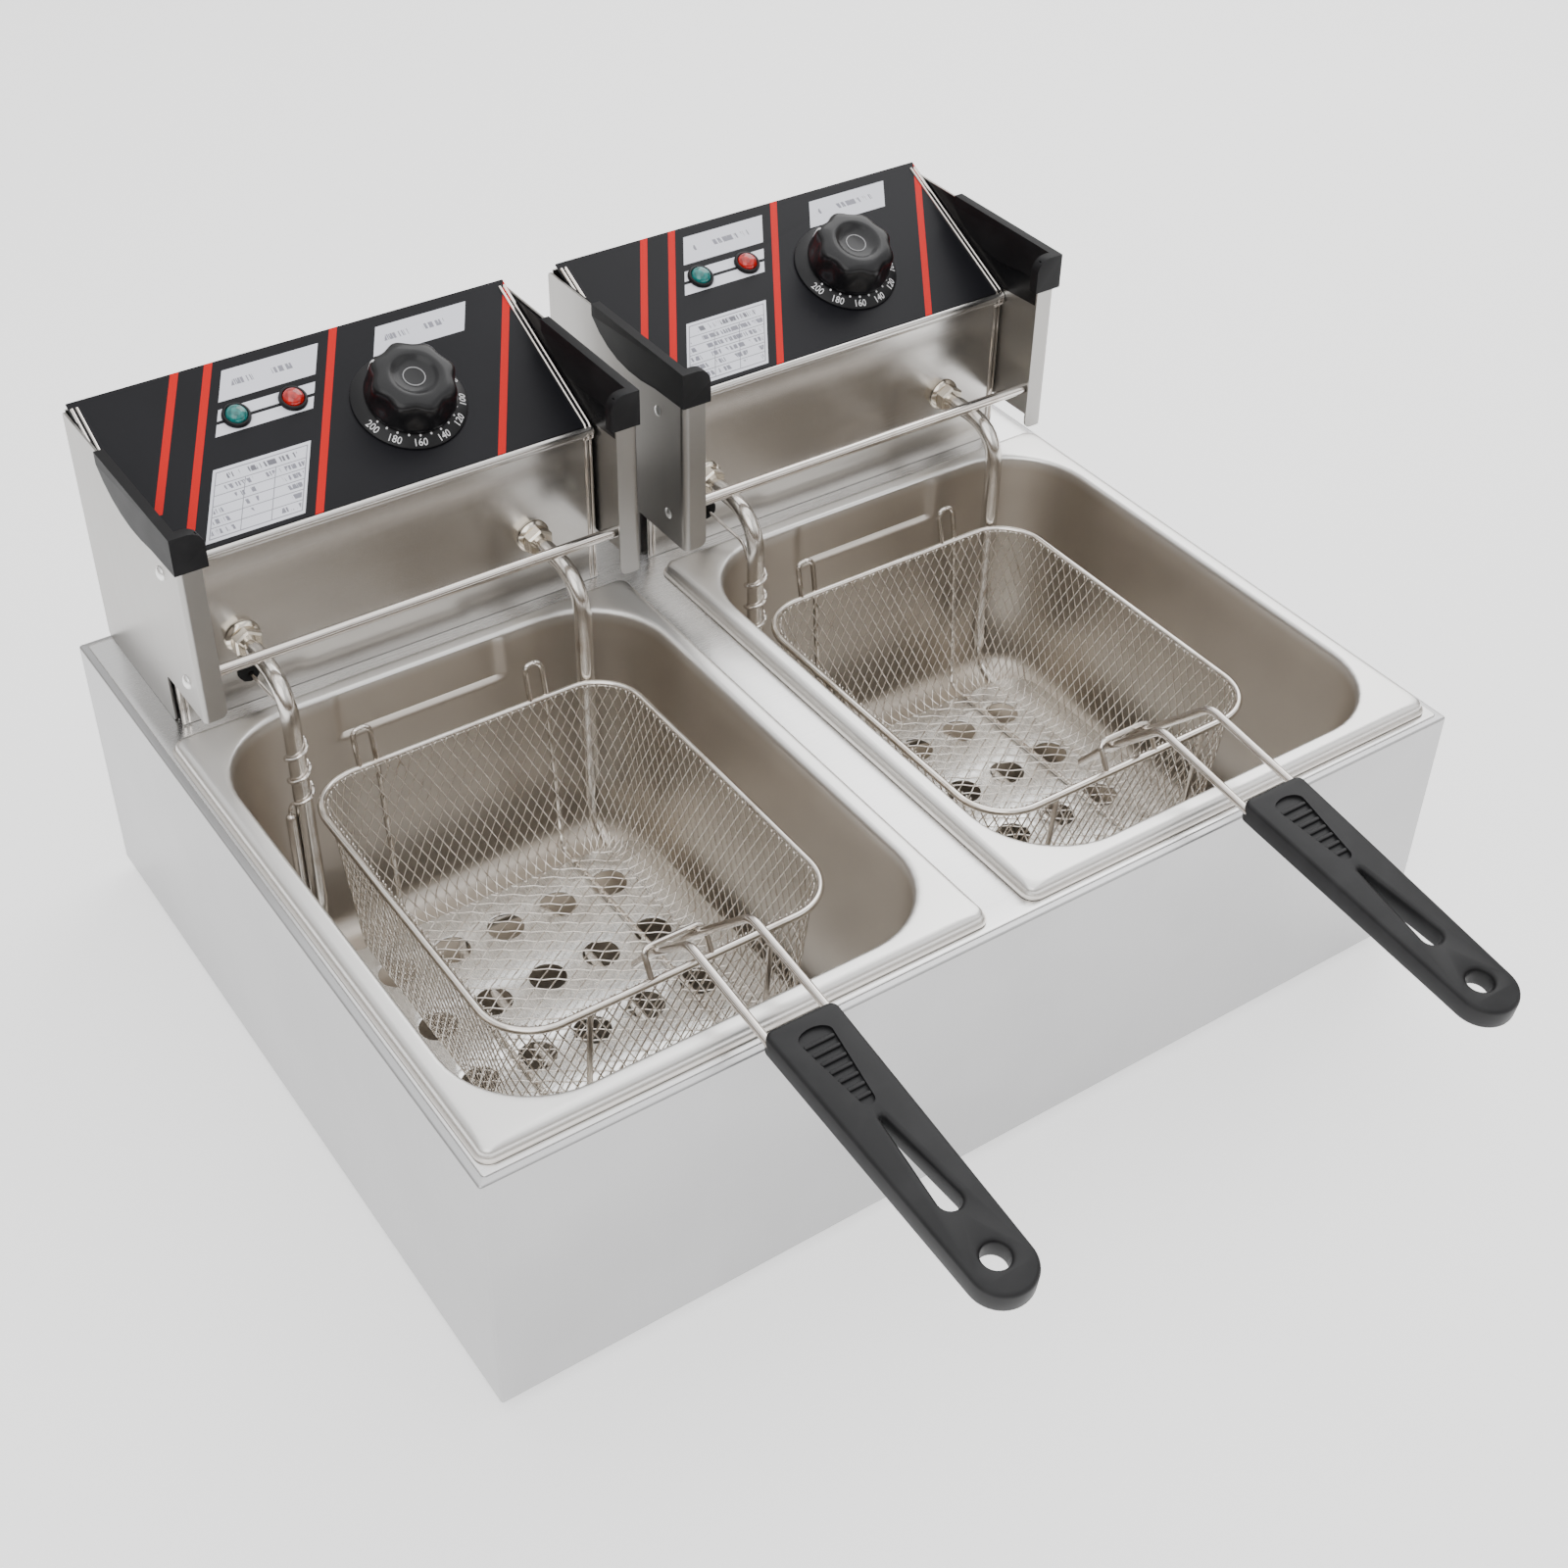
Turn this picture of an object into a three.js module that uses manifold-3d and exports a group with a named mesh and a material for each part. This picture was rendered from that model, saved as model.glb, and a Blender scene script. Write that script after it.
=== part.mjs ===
// Countertop twin-tank electric deep fryer.
// Millimetres, +Z up, X to the right along the front face, Y towards the back.
// While it is built, X = 0 is the middle of the body, Y = 0 its front face and Z = 0 the table.

import * as THREE from 'three';
import { mergeVertices } from 'three/addons/utils/BufferGeometryUtils.js';
import Module from 'manifold-3d';

const wasm = await Module();
wasm.setup();

// ---------------------------------------------------------------- driving dimensions

const GAP = 0.3;                    // between pieces that touch
const SHEET = 1.2;                  // folded steel sheet

const BODY_W = 569;
const BODY_D = 445;
const FOOT_H = 8;
const DECK_Z = FOOT_H + 151;        // top face of the deck

const PAN_W = 265;                  // half-size gastronorm pan, over its rim
const PAN_D = 325;
const PAN_DEPTH = 150;
const PAN_Y = 171.5;                // middle of the pan
const PAN_X = 145;                  // middle of each pan, left and right of the body's middle
const PAN_RIM_H = 7;                // rim top above the deck
const PAN_MARGIN = 11;              // flat of the rim
const PAN_CORNER = 48;              // corner radius of the mouth
const PAN_SHEET = 0.9;
const PAN_TAPER = 9;                // how far each wall leans in by the floor
const RIM_Z = DECK_Z + PAN_RIM_H;

const HEAD_W = 248;                 // over the cheeks
const HEAD_X = [-143, 135];         // each head stands where its element meets the pan
const HEAD_FRONT_Y = 349;
const HEAD_BACK_Y = 444;
const CHEEK_FRONT_Y = 306;
const CHEEK_TOP_Z = DECK_Z + 137;
const WING_Z = DECK_Z + 30;         // underside of the part of the cheek that overhangs the pan
const FOOT_FRONT_Y = 354;
const FLANGE_W = 12;
const PANEL_FRONT = [HEAD_FRONT_Y - 1, DECK_Z + 98];
const PANEL_BACK = [HEAD_BACK_Y - 4, DECK_Z + 142.5];

const ROD_D = 6;
const ROD_Y = 311;
const ROD_Z = DECK_Z + 54.5;

const TUBE_D = 7;                   // heating element
const LEG_X = 83.8;
const LEG_Y = 298;
const NUT_Z = DECK_Z + 41;
const RUN_Z = 29;
const GROMMET_Z = NUT_Z - 21.5;
const GROMMET_D = 9;
const CAPILLARY_D = 2;
const BULB = { d: 5.6, top: 122, bottom: 52 };      // the sensor's bulb

const GUARD_Z = RUN_Z + TUBE_D / 2 + GAP;
const GUARD_PITCH = [32.5, 46];
const GUARD_HOLE_D = 20;
const GUARD_MIDDLE_Y = 157;

const KNOB_AT = [38, 46];           // across and up the panel from its front edge
const LAMP_AT = { green: [-48, 67.5], red: [-17, 67.5] };
const LAMP_HOLE_D = 9.6;
const SHAFT_D = 6;
const BEZEL_H = 5;

const BASKET_X = [-136, 140];
const BASKET_Y = 186.5;
const BASKET_W = 184;               // along the middle of the rim wire
const BASKET_D = 214;
const BASKET_CORNER = 28;
const BASKET_RIM_Z = DECK_Z - 21;
const RIM_WIRE_D = 4;
const WIRE_D = 3;
const BASKET_TAPER = 8;
const STRUT_X = 50;                 // the two long frame wires

const HANDLE_NEAR = [-13, DECK_Z + 22];      // y and z of the grip's two ends
const HANDLE_FAR = [-169, DECK_Z + 3.5];
const HANDLE_ROD_X = 16.3;
const HANDLE_ROD_D = 4.4;
const GRIP_T = 12;
const ROD_IN_GRIP = 26;             // how deep the rods sit in the grip

const GLAND_X = 70;                 // cable entry in the back of the head
const GLAND_Z = DECK_Z + 32;
const GLAND_D = 16;
const RESET_X = -60;                // reset button, also in the back
const RESET_Z = DECK_Z + 34;
const BUTTON_D = 8;
const BUTTON_TRAVEL = 2;

// ---------------------------------------------------------------- finishes

function finish(color, roughness, metalness) {
  return new THREE.MeshStandardMaterial({ color, roughness, metalness });
}

const steel = finish(0xc9c7c2, 0.32, 1);
const brushed = finish(0xb4aea8, 0.42, 1);
const panSteel = finish(0xa89e92, 0.4, 1);
const wire = finish(0xb9b0a4, 0.25, 1);
const enamel = finish(0x3c3c40, 0.45, 0);
const plastic = finish(0x242424, 0.4, 0);
const gripPlastic = finish(0x48484a, 0.5, 0);
const rubber = finish(0x111111, 0.8, 0);
const greenLens = finish(0x14968c, 0.15, 0);
const redLens = finish(0xc8281e, 0.15, 0);

// ---------------------------------------------------------------- shape helpers

const v2 = (x, y) => new THREE.Vector2(x, y);
const v3 = (x, y, z) => new THREE.Vector3(x, y, z);

function toSolid(geometry) {
  const bare = new THREE.BufferGeometry();
  bare.setAttribute('position', geometry.getAttribute('position').clone());
  if (geometry.index) bare.setIndex(geometry.index.clone());
  const merged = mergeVertices(bare, 1e-4);
  const vertProperties = new Float32Array(merged.getAttribute('position').array);
  const triVerts = new Uint32Array(merged.index.array);
  return new wasm.Manifold(new wasm.Mesh({ numProp: 3, vertProperties, triVerts }));
}

function fromSolid(solid) {
  const mesh = solid.getMesh();
  const geometry = new THREE.BufferGeometry();
  geometry.setAttribute('position', new THREE.BufferAttribute(new Float32Array(mesh.vertProperties), 3));
  geometry.setIndex(new THREE.BufferAttribute(new Uint32Array(mesh.triVerts), 1));
  return geometry;
}

const join = (...pieces) => fromSolid(pieces.map(toSolid).reduce((a, b) => a.add(b)));
const cut = (piece, ...tools) => {
  return fromSolid(tools.map(toSolid).reduce((a, b) => a.subtract(b), toSolid(piece)));
};

// A block from its lowest corner to its highest.
function block(x0, x1, y0, y1, z0, z1) {
  const geometry = new THREE.BoxGeometry(x1 - x0, y1 - y0, z1 - z0);
  return geometry.translate((x0 + x1) / 2, (y0 + y1) / 2, (z0 + z1) / 2);
}

// A round bar of the given diameter between two points.
function bar(from, to, diameter, sides = 12) {
  const along = to.clone().sub(from);
  const geometry = new THREE.CylinderGeometry(diameter / 2, diameter / 2, along.length(), sides);
  const turn = new THREE.Quaternion().setFromUnitVectors(v3(0, 1, 0), along.clone().normalize());
  geometry.applyQuaternion(turn);
  const middle = from.clone().add(to).multiplyScalar(0.5);
  return geometry.translate(middle.x, middle.y, middle.z);
}

// A solid turned about the line through `foot` along `axis`, from [radius, height] pairs.
function turned(profile, foot, axis, sides = 16) {
  const geometry = new THREE.LatheGeometry(profile.map(([r, h]) => v2(r, h)), sides);
  geometry.applyQuaternion(new THREE.Quaternion().setFromUnitVectors(v3(0, 1, 0), axis));
  return geometry.translate(foot.x, foot.y, foot.z);
}

function circlePoints(radius, sides, x = 0, y = 0) {
  const points = [];
  for (let i = 0; i < sides; i += 1) {
    const a = (i / sides) * 2 * Math.PI;
    points.push(v2(x + radius * Math.cos(a), y + radius * Math.sin(a)));
  }
  return points;
}

function circleHole(radius, sides, x, y) {
  return new THREE.Path(circlePoints(radius, sides, x, y));
}

// A path of straight runs whose corners are rounded with one radius.
function roundedPath(points, radius) {
  const path = new THREE.CurvePath();
  let start = points[0];
  for (let i = 1; i < points.length - 1; i += 1) {
    const corner = points[i];
    const back = start.clone().sub(corner).normalize();
    const ahead = points[i + 1].clone().sub(corner).normalize();
    const half = back.angleTo(ahead) / 2;
    const reach = radius / Math.tan(half);
    const enter = corner.clone().addScaledVector(back, reach);
    const leave = corner.clone().addScaledVector(ahead, reach);
    path.add(new THREE.LineCurve3(start, enter));
    path.add(new THREE.QuadraticBezierCurve3(enter, corner, leave));
    start = leave;
  }
  path.add(new THREE.LineCurve3(start, points[points.length - 1]));
  return path;
}

// The outline of a rectangle with round corners, as a loop of points about (x, y).
function roundedRect(w, d, radius, x = 0, y = 0, arc = 5) {
  const points = [];
  for (let c = 0; c < 4; c += 1) {
    const cx = x + (c === 0 || c === 3 ? 1 : -1) * (w / 2 - radius);
    const cy = y + (c < 2 ? 1 : -1) * (d / 2 - radius);
    for (let i = 0; i <= arc; i += 1) {
      const a = (c + i / arc) * (Math.PI / 2);
      points.push(v2(cx + radius * Math.cos(a), cy + radius * Math.sin(a)));
    }
  }
  return points;
}

// A closed skin over a list of rings { w, d, r, z }, each a rounded rectangle about (x, y), with
// the first and last ring filled in. The rings run up the inside of a bin, over its edge and
// down the outside.
function lofted(rings, x, y, arc = 5) {
  const loops = rings.map((ring) => roundedRect(ring.w, ring.d, ring.r, x, y, arc));
  const count = loops[0].length;
  const positions = [];
  loops.forEach((loop, k) => loop.forEach((p) => positions.push(p.x, p.y, rings[k].z)));
  const index = [];
  for (let k = 0; k + 1 < loops.length; k += 1) {
    for (let i = 0; i < count; i += 1) {
      const j = (i + 1) % count;
      const a = k * count;
      const b = a + count;
      index.push(a + i, b + i, b + j, a + i, b + j, a + j);
    }
  }
  const last = (loops.length - 1) * count;
  for (let i = 1; i + 1 < count; i += 1) {
    index.push(0, i, i + 1);
    index.push(last, last + i + 1, last + i);
  }
  const geometry = new THREE.BufferGeometry();
  geometry.setAttribute('position', new THREE.Float32BufferAttribute(positions, 3));
  geometry.setIndex(index);
  return geometry;
}

// A flat outline in the Y-Z plane, pushed out along X from x0 to x1.
function sideProfile(points, x0, x1) {
  const shape = new THREE.Shape(points.map(([y, z]) => v2(y, z)));
  const geometry = new THREE.ExtrudeGeometry(shape, { depth: x1 - x0, bevelEnabled: false });
  const toWorld = new THREE.Matrix4().makeBasis(v3(0, 1, 0), v3(0, 0, 1), v3(1, 0, 0));
  return geometry.applyMatrix4(toWorld).translate(x0, 0, 0);
}

// ---------------------------------------------------------------- object

const fryer = new THREE.Group();

function addPiece(name, geometry, material) {
  const mesh = new THREE.Mesh(geometry, material);
  mesh.name = name;
  fryer.add(mesh);
}

// ---------------------------------------------------------------- body

// The body is a folded tray: four walls and a floor, open at the top.
function bodyShell() {
  const w = BODY_W / 2;
  const outside = block(-w, w, 0, BODY_D, FOOT_H, DECK_Z - SHEET - GAP);
  const inside = block(-w + SHEET, w - SHEET, SHEET, BODY_D - SHEET, FOOT_H + SHEET, DECK_Z);
  return cut(outside, inside);
}

// The deck has one opening for each pan; the pan's rim covers its edge.
function topDeck() {
  const clearance = 3;
  const plate = new THREE.Shape(roundedRect(BODY_W, BODY_D, 1, 0, BODY_D / 2, 1));
  const openW = PAN_W - 2 * PAN_MARGIN + clearance;
  const openD = PAN_D - 2 * PAN_MARGIN + clearance;
  for (const x of [-PAN_X, PAN_X]) {
    plate.holes.push(new THREE.Path(roundedRect(openW, openD, PAN_CORNER, x, PAN_Y)));
  }
  const geometry = new THREE.ExtrudeGeometry(plate, { depth: SHEET, bevelEnabled: false });
  return geometry.translate(0, 0, DECK_Z - SHEET);
}

function foot(x, y) {
  const r = 12;
  const profile = [[0, 0], [r - 1.5, 0], [r, 1.5], [r - 1, FOOT_H - GAP], [0, FOOT_H - GAP]];
  return turned(profile, v3(x, y, 0), v3(0, 0, 1), 12);
}

function addBody() {
  addPiece('body_shell', bodyShell(), steel);
  addPiece('top_deck', topDeck(), steel);
  const inset = 38;
  const corners = {
    front_left: [-1, inset],
    front_right: [1, inset],
    back_left: [-1, BODY_D - inset],
    back_right: [1, BODY_D - inset],
  };
  for (const [name, [side, y]] of Object.entries(corners)) {
    addPiece(`foot_${name}`, foot(side * (BODY_W / 2 - inset), y), rubber);
  }
}

// ---------------------------------------------------------------- pan

// A pressed pan: round-cornered walls leaning in to the floor, and a rim turned down on the deck.
function pan(x) {
  const mouthW = PAN_W - 2 * PAN_MARGIN;
  const mouthD = PAN_D - 2 * PAN_MARGIN;
  const fillet = 14;
  const bottom = RIM_Z - PAN_DEPTH;
  const wall = (inset, z, thick) => {
    const grow = 2 * (thick - inset);
    return { w: mouthW + grow, d: mouthD + grow, r: PAN_CORNER + thick - inset, z };
  };
  const lean = (z) => (PAN_TAPER * (RIM_Z - z)) / PAN_DEPTH;
  const floorEdge = PAN_TAPER + fillet;
  const filletTop = bottom + fillet;
  const round = fillet * (1 - Math.SQRT1_2);
  const inside = [
    wall(floorEdge, bottom + PAN_SHEET, 0),
    wall(PAN_TAPER + round, bottom + PAN_SHEET + round, 0),
    wall(lean(filletTop), filletTop, 0),
    wall(1.5, RIM_Z - 3, 0),
    wall(0, RIM_Z, 0),
  ];
  const lip = 2;
  const rim = [
    { w: PAN_W - 2, d: PAN_D - 2, r: 4, z: RIM_Z },
    { w: PAN_W, d: PAN_D, r: 5, z: RIM_Z - 1.5 },
    { w: PAN_W, d: PAN_D, r: 5, z: DECK_Z + GAP },
    { w: PAN_W - 2 * lip, d: PAN_D - 2 * lip, r: 3, z: DECK_Z + GAP },
    { w: PAN_W - 2 * lip, d: PAN_D - 2 * lip, r: 3, z: RIM_Z - 1.2 },
  ];
  const outside = [
    wall(0, RIM_Z - 1.2, PAN_SHEET),
    wall(lean(filletTop), filletTop, PAN_SHEET),
    wall(PAN_TAPER + round, bottom + round, PAN_SHEET),
    wall(floorEdge, bottom, PAN_SHEET),
  ];
  return lofted([...inside, ...rim, ...outside], x, PAN_Y);
}

// ---------------------------------------------------------------- head sheet metal

// A side plate of the head. Behind, it stands on the deck; in front, its wing overhangs the pan.
// Its front edge is folded inwards into a narrow flange with round ends. `side` is -1 or 1.
function cheek(x, side) {
  const outer = x + side * (HEAD_W / 2);
  const inner = outer - side * SHEET;
  const foot = DECK_Z + GAP;
  const outline = [
    [HEAD_BACK_Y, foot], [HEAD_BACK_Y, CHEEK_TOP_Z], [CHEEK_FRONT_Y, CHEEK_TOP_Z],
    [CHEEK_FRONT_Y, WING_Z], [FOOT_FRONT_Y, WING_Z], [FOOT_FRONT_Y, foot],
  ];
  const plate = sideProfile(outline, Math.min(inner, outer), Math.max(inner, outer));
  const r = 5;
  const top = CHEEK_TOP_Z - r;
  const bottom = WING_Z + r;
  const tip = outer - side * FLANGE_W;
  const flange = new THREE.Shape();
  const arc = 4;
  const points = [v2(outer, WING_Z)];
  for (let i = 0; i <= arc; i += 1) {
    const a = (i / arc) * (Math.PI / 2);
    points.push(v2(tip + side * r * (1 - Math.sin(a)), bottom - r * Math.cos(a)));
  }
  for (let i = 0; i <= arc; i += 1) {
    const a = (i / arc) * (Math.PI / 2);
    points.push(v2(tip + side * r * (1 - Math.cos(a)), top + r * Math.sin(a)));
  }
  points.push(v2(outer, CHEEK_TOP_Z));
  flange.setFromPoints(points);
  const fold = new THREE.ExtrudeGeometry(flange, { depth: SHEET, bevelEnabled: false });
  const toWorld = new THREE.Matrix4().makeBasis(v3(1, 0, 0), v3(0, 0, 1), v3(0, -1, 0));
  fold.applyMatrix4(toWorld).translate(0, CHEEK_FRONT_Y + SHEET, 0);
  return join(plate, fold);
}

const insideHalf = HEAD_W / 2 - SHEET - GAP;      // from the head's middle to just inside a cheek

// Floor and back of the head in one folded sheet, with holes for the gland and reset button.
function headCase(x) {
  const floor = DECK_Z + GAP;
  const top = PANEL_BACK[1] - 5;
  const outline = [
    [FOOT_FRONT_Y, floor], [HEAD_BACK_Y, floor], [HEAD_BACK_Y, top], [HEAD_BACK_Y - SHEET, top],
    [HEAD_BACK_Y - SHEET, floor + SHEET], [FOOT_FRONT_Y, floor + SHEET],
  ];
  const sheet = sideProfile(outline, x - insideHalf, x + insideHalf);
  const hole = (at, z, d) => bar(v3(x + at, HEAD_BACK_Y - 5, z), v3(x + at, HEAD_BACK_Y + 5, z), d, 12);
  return cut(sheet, hole(GLAND_X, GLAND_Z, GLAND_D + 2 * GAP), hole(RESET_X, RESET_Z, BUTTON_D + 2 * GAP));
}

// The front plate with a rolled hem along its top edge, under the edge of the sloped panel.
function headFront(x) {
  const floor = DECK_Z + GAP;
  const y = HEAD_FRONT_Y;
  const hemZ = PANEL_FRONT[1] - 3.2;
  const plate = block(x - insideHalf, x + insideHalf, y, y + SHEET, floor, hemZ);
  const hem = bar(v3(x - insideHalf, y - 0.4, hemZ), v3(x + insideHalf, y - 0.4, hemZ), 4, 10);
  const hole = (at, z, d) => bar(v3(x + at, y - 5, z), v3(x + at, y + 5, z), d, 12);
  const tubeHole = TUBE_D + 2 * GAP;
  return cut(
    join(plate, hem),
    hole(-LEG_X, NUT_Z, tubeHole),
    hole(LEG_X, NUT_Z, tubeHole),
    hole(-LEG_X, GROMMET_Z, GROMMET_D + 2 * GAP),
  );
}

// The sloped panel's own frame: x across the head, y up the slope, z out of the panel.
const slope = Math.atan2(PANEL_BACK[1] - PANEL_FRONT[1], PANEL_BACK[0] - PANEL_FRONT[0]);
const panelLength = Math.hypot(PANEL_BACK[1] - PANEL_FRONT[1], PANEL_BACK[0] - PANEL_FRONT[0]);
const panelNormal = v3(0, -Math.sin(slope), Math.cos(slope));

function panelPoint(x, across, up, out = 0) {
  const along = v3(0, Math.cos(slope), Math.sin(slope)).multiplyScalar(up);
  const start = v3(x + across, PANEL_FRONT[0], PANEL_FRONT[1]);
  return start.add(along).addScaledVector(panelNormal, out);
}

function controlPanel(x) {
  const face = new THREE.Shape([
    v2(-insideHalf, 0), v2(insideHalf, 0), v2(insideHalf, panelLength), v2(-insideHalf, panelLength),
  ]);
  for (const at of Object.values(LAMP_AT)) face.holes.push(circleHole(LAMP_HOLE_D / 2, 10, ...at));
  face.holes.push(circleHole(SHAFT_D / 2 + 1, 10, ...KNOB_AT));
  const geometry = new THREE.ExtrudeGeometry(face, { depth: SHEET, bevelEnabled: false });
  geometry.translate(0, 0, -SHEET);
  geometry.rotateX(slope);
  return geometry.translate(x, PANEL_FRONT[0], PANEL_FRONT[1]);
}

// A moulded trim pushed onto the cheek's top edge: thin along the outside, with a cap in front
// that covers the top of the flange.
function cheekGrip(x, side) {
  const outer = x + side * (HEAD_W / 2);
  const top = CHEEK_TOP_Z + 2;
  const backY = 396;
  const front = CHEEK_FRONT_Y - 2;
  const sag = new THREE.QuadraticBezierCurve(
    v2(backY, CHEEK_TOP_Z - 5), v2(376, CHEEK_TOP_Z - 27), v2(332, CHEEK_TOP_Z - 19));
  const outline = [[backY, top], ...sag.getPoints(6).map((p) => [p.x, p.y])];
  outline.push([front, CHEEK_TOP_Z - 18], [front, top]);
  const skin = 2;
  const outFace = outer + side * skin;
  const inFace = outer - side * (SHEET + skin);
  const body = sideProfile(outline, Math.min(outFace, inFace), Math.max(outFace, inFace));
  const tip = outer - side * (FLANGE_W + 3);
  const capLow = CHEEK_TOP_Z - 18;
  const r = 8;
  const cap = new THREE.Shape();
  const points = [v2(outFace, capLow), v2(tip, capLow)];
  const arc = 4;
  for (let i = 0; i <= arc; i += 1) {
    const a = (i / arc) * (Math.PI / 2);
    points.push(v2(tip + side * r * (1 - Math.cos(a)), top - r + r * Math.sin(a)));
  }
  points.push(v2(outFace, top));
  cap.setFromPoints(points);
  const capDepth = 6;
  const capBlock = new THREE.ExtrudeGeometry(cap, { depth: capDepth, bevelEnabled: false });
  const toWorld = new THREE.Matrix4().makeBasis(v3(1, 0, 0), v3(0, 0, 1), v3(0, -1, 0));
  capBlock.applyMatrix4(toWorld).translate(0, front + capDepth, 0);
  const slotOuter = outer + side * GAP;
  const slotInner = outer - side * (SHEET + GAP);
  const low = CHEEK_TOP_Z - 60;
  const ends = [Math.min(slotOuter, slotInner), Math.max(slotOuter, slotInner)];
  const sheetSlot = block(...ends, CHEEK_FRONT_Y - GAP, backY + 10, low, CHEEK_TOP_Z + GAP);
  const flangeTip = outer - side * (FLANGE_W + GAP);
  const across = [Math.min(slotOuter, flangeTip), Math.max(slotOuter, flangeTip)];
  const foldEnds = [CHEEK_FRONT_Y - GAP, CHEEK_FRONT_Y + SHEET + GAP];
  const flangeSlot = block(...across, ...foldEnds, low, CHEEK_TOP_Z + GAP);
  return cut(join(body, capBlock), sheetSlot, flangeSlot);
}

function hangRod(x) {
  return bar(v3(x - insideHalf, ROD_Y, ROD_Z), v3(x + insideHalf, ROD_Y, ROD_Z), ROD_D, 10);
}

// ---------------------------------------------------------------- heating element and sensor

// One tube: in through the left nut, down, four runs across the floor of the pan, up and out.
function elementTube(x) {
  const back = LEG_Y;
  const front = 62;
  const near = 262;
  const inner = LEG_X / 3;
  const points = [
    v3(-LEG_X, HEAD_FRONT_Y + 22, NUT_Z), v3(-LEG_X, back, NUT_Z), v3(-LEG_X, back, RUN_Z),
    v3(-LEG_X, front, RUN_Z), v3(-inner, front, RUN_Z), v3(-inner, near, RUN_Z),
    v3(inner, near, RUN_Z), v3(inner, front, RUN_Z), v3(LEG_X, front, RUN_Z),
    v3(LEG_X, back, RUN_Z), v3(LEG_X, back, NUT_Z), v3(LEG_X, HEAD_FRONT_Y + 22, NUT_Z),
  ];
  const path = roundedPath(points.map((p) => p.add(v3(x, 0, 0))), 25);
  return sweptTube(path, TUBE_D, 4, 6);
}

// A tube along a path of straight runs and bends: `bendSteps` rings in every bend and one at each
// end of a straight run, so no ring is spent where nothing bends.
function sweptTube(path, diameter, bendSteps, sides) {
  const points = [];
  for (const part of path.curves) {
    const steps = part.isLineCurve3 ? 1 : bendSteps;
    part.getPoints(steps).forEach((p, i) => {
      if (i > 0 || points.length === 0) points.push(p);
    });
  }
  return tubeThrough(points, diameter, sides);
}

// A tube of round section through a list of points, with flat ends. The section is carried from
// each point to the next with the least twist.
function tubeThrough(points, diameter, sides) {
  const positions = [];
  const index = [];
  const last = points.length - 1;
  const heading = (i) => {
    const from = points[Math.max(i - 1, 0)];
    const to = points[Math.min(i + 1, last)];
    return to.clone().sub(from).normalize();
  };
  let along = heading(0);
  const side = Math.abs(along.z) < 0.9 ? v3(0, 0, 1) : v3(1, 0, 0);
  const across = side.clone().cross(along).normalize();
  for (let i = 0; i <= last; i += 1) {
    const next = heading(i);
    across.applyQuaternion(new THREE.Quaternion().setFromUnitVectors(along, next));
    along = next;
    const up = along.clone().cross(across).normalize();
    for (let k = 0; k < sides; k += 1) {
      const a = (k / sides) * 2 * Math.PI;
      const p = points[i].clone();
      p.addScaledVector(across, (Math.cos(a) * diameter) / 2);
      p.addScaledVector(up, (Math.sin(a) * diameter) / 2);
      positions.push(p.x, p.y, p.z);
      if (i === last) continue;
      const b = i * sides;
      const n = (k + 1) % sides;
      index.push(b + k, b + n, b + sides + n, b + k, b + sides + n, b + sides + k);
    }
  }
  const end = last * sides;
  for (let k = 1; k + 1 < sides; k += 1) {
    index.push(0, k + 1, k);
    index.push(end, end + k, end + k + 1);
  }
  const geometry = new THREE.BufferGeometry();
  geometry.setAttribute('position', new THREE.Float32BufferAttribute(positions, 3));
  geometry.setIndex(index);
  return geometry;
}

// A hexagon nut with a round flange, clamping one end of the element to the front plate.
function elementNut(x) {
  const y = HEAD_FRONT_Y - GAP;
  const along = v3(0, -1, 0);
  const collar = [[0, 0], [9.5, 0], [9.5, 1.4], [7.5, 2.6], [0, 2.6]];
  const flange = turned(collar, v3(x, y, NUT_Z), along, 16);
  const hexagon = bar(v3(x, y - 2, NUT_Z), v3(x, y - 9, NUT_Z), 14.5, 6);
  const bore = bar(v3(x, y + 5, NUT_Z), v3(x, y - 15, NUT_Z), TUBE_D + 2 * GAP, 12);
  return cut(join(flange, hexagon), bore);
}

function capillaryGrommet(x) {
  const y = HEAD_FRONT_Y;
  const foot = v3(x - LEG_X, y - 3, GROMMET_Z);
  const r = GROMMET_D / 2;
  const bore = CAPILLARY_D / 2 + GAP;
  const neck = 3 + SHEET + GAP;
  const profile = [
    [bore, 0], [r, 0], [r + 1.5, 1.5], [r + 1.5, 3 - GAP], [r, 3 - GAP], [r, neck],
    [r + 1, neck], [r, neck + 2], [bore, neck + 2], [bore, 0],
  ];
  return turned(profile, foot, v3(0, 1, 0), 10);
}

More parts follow.
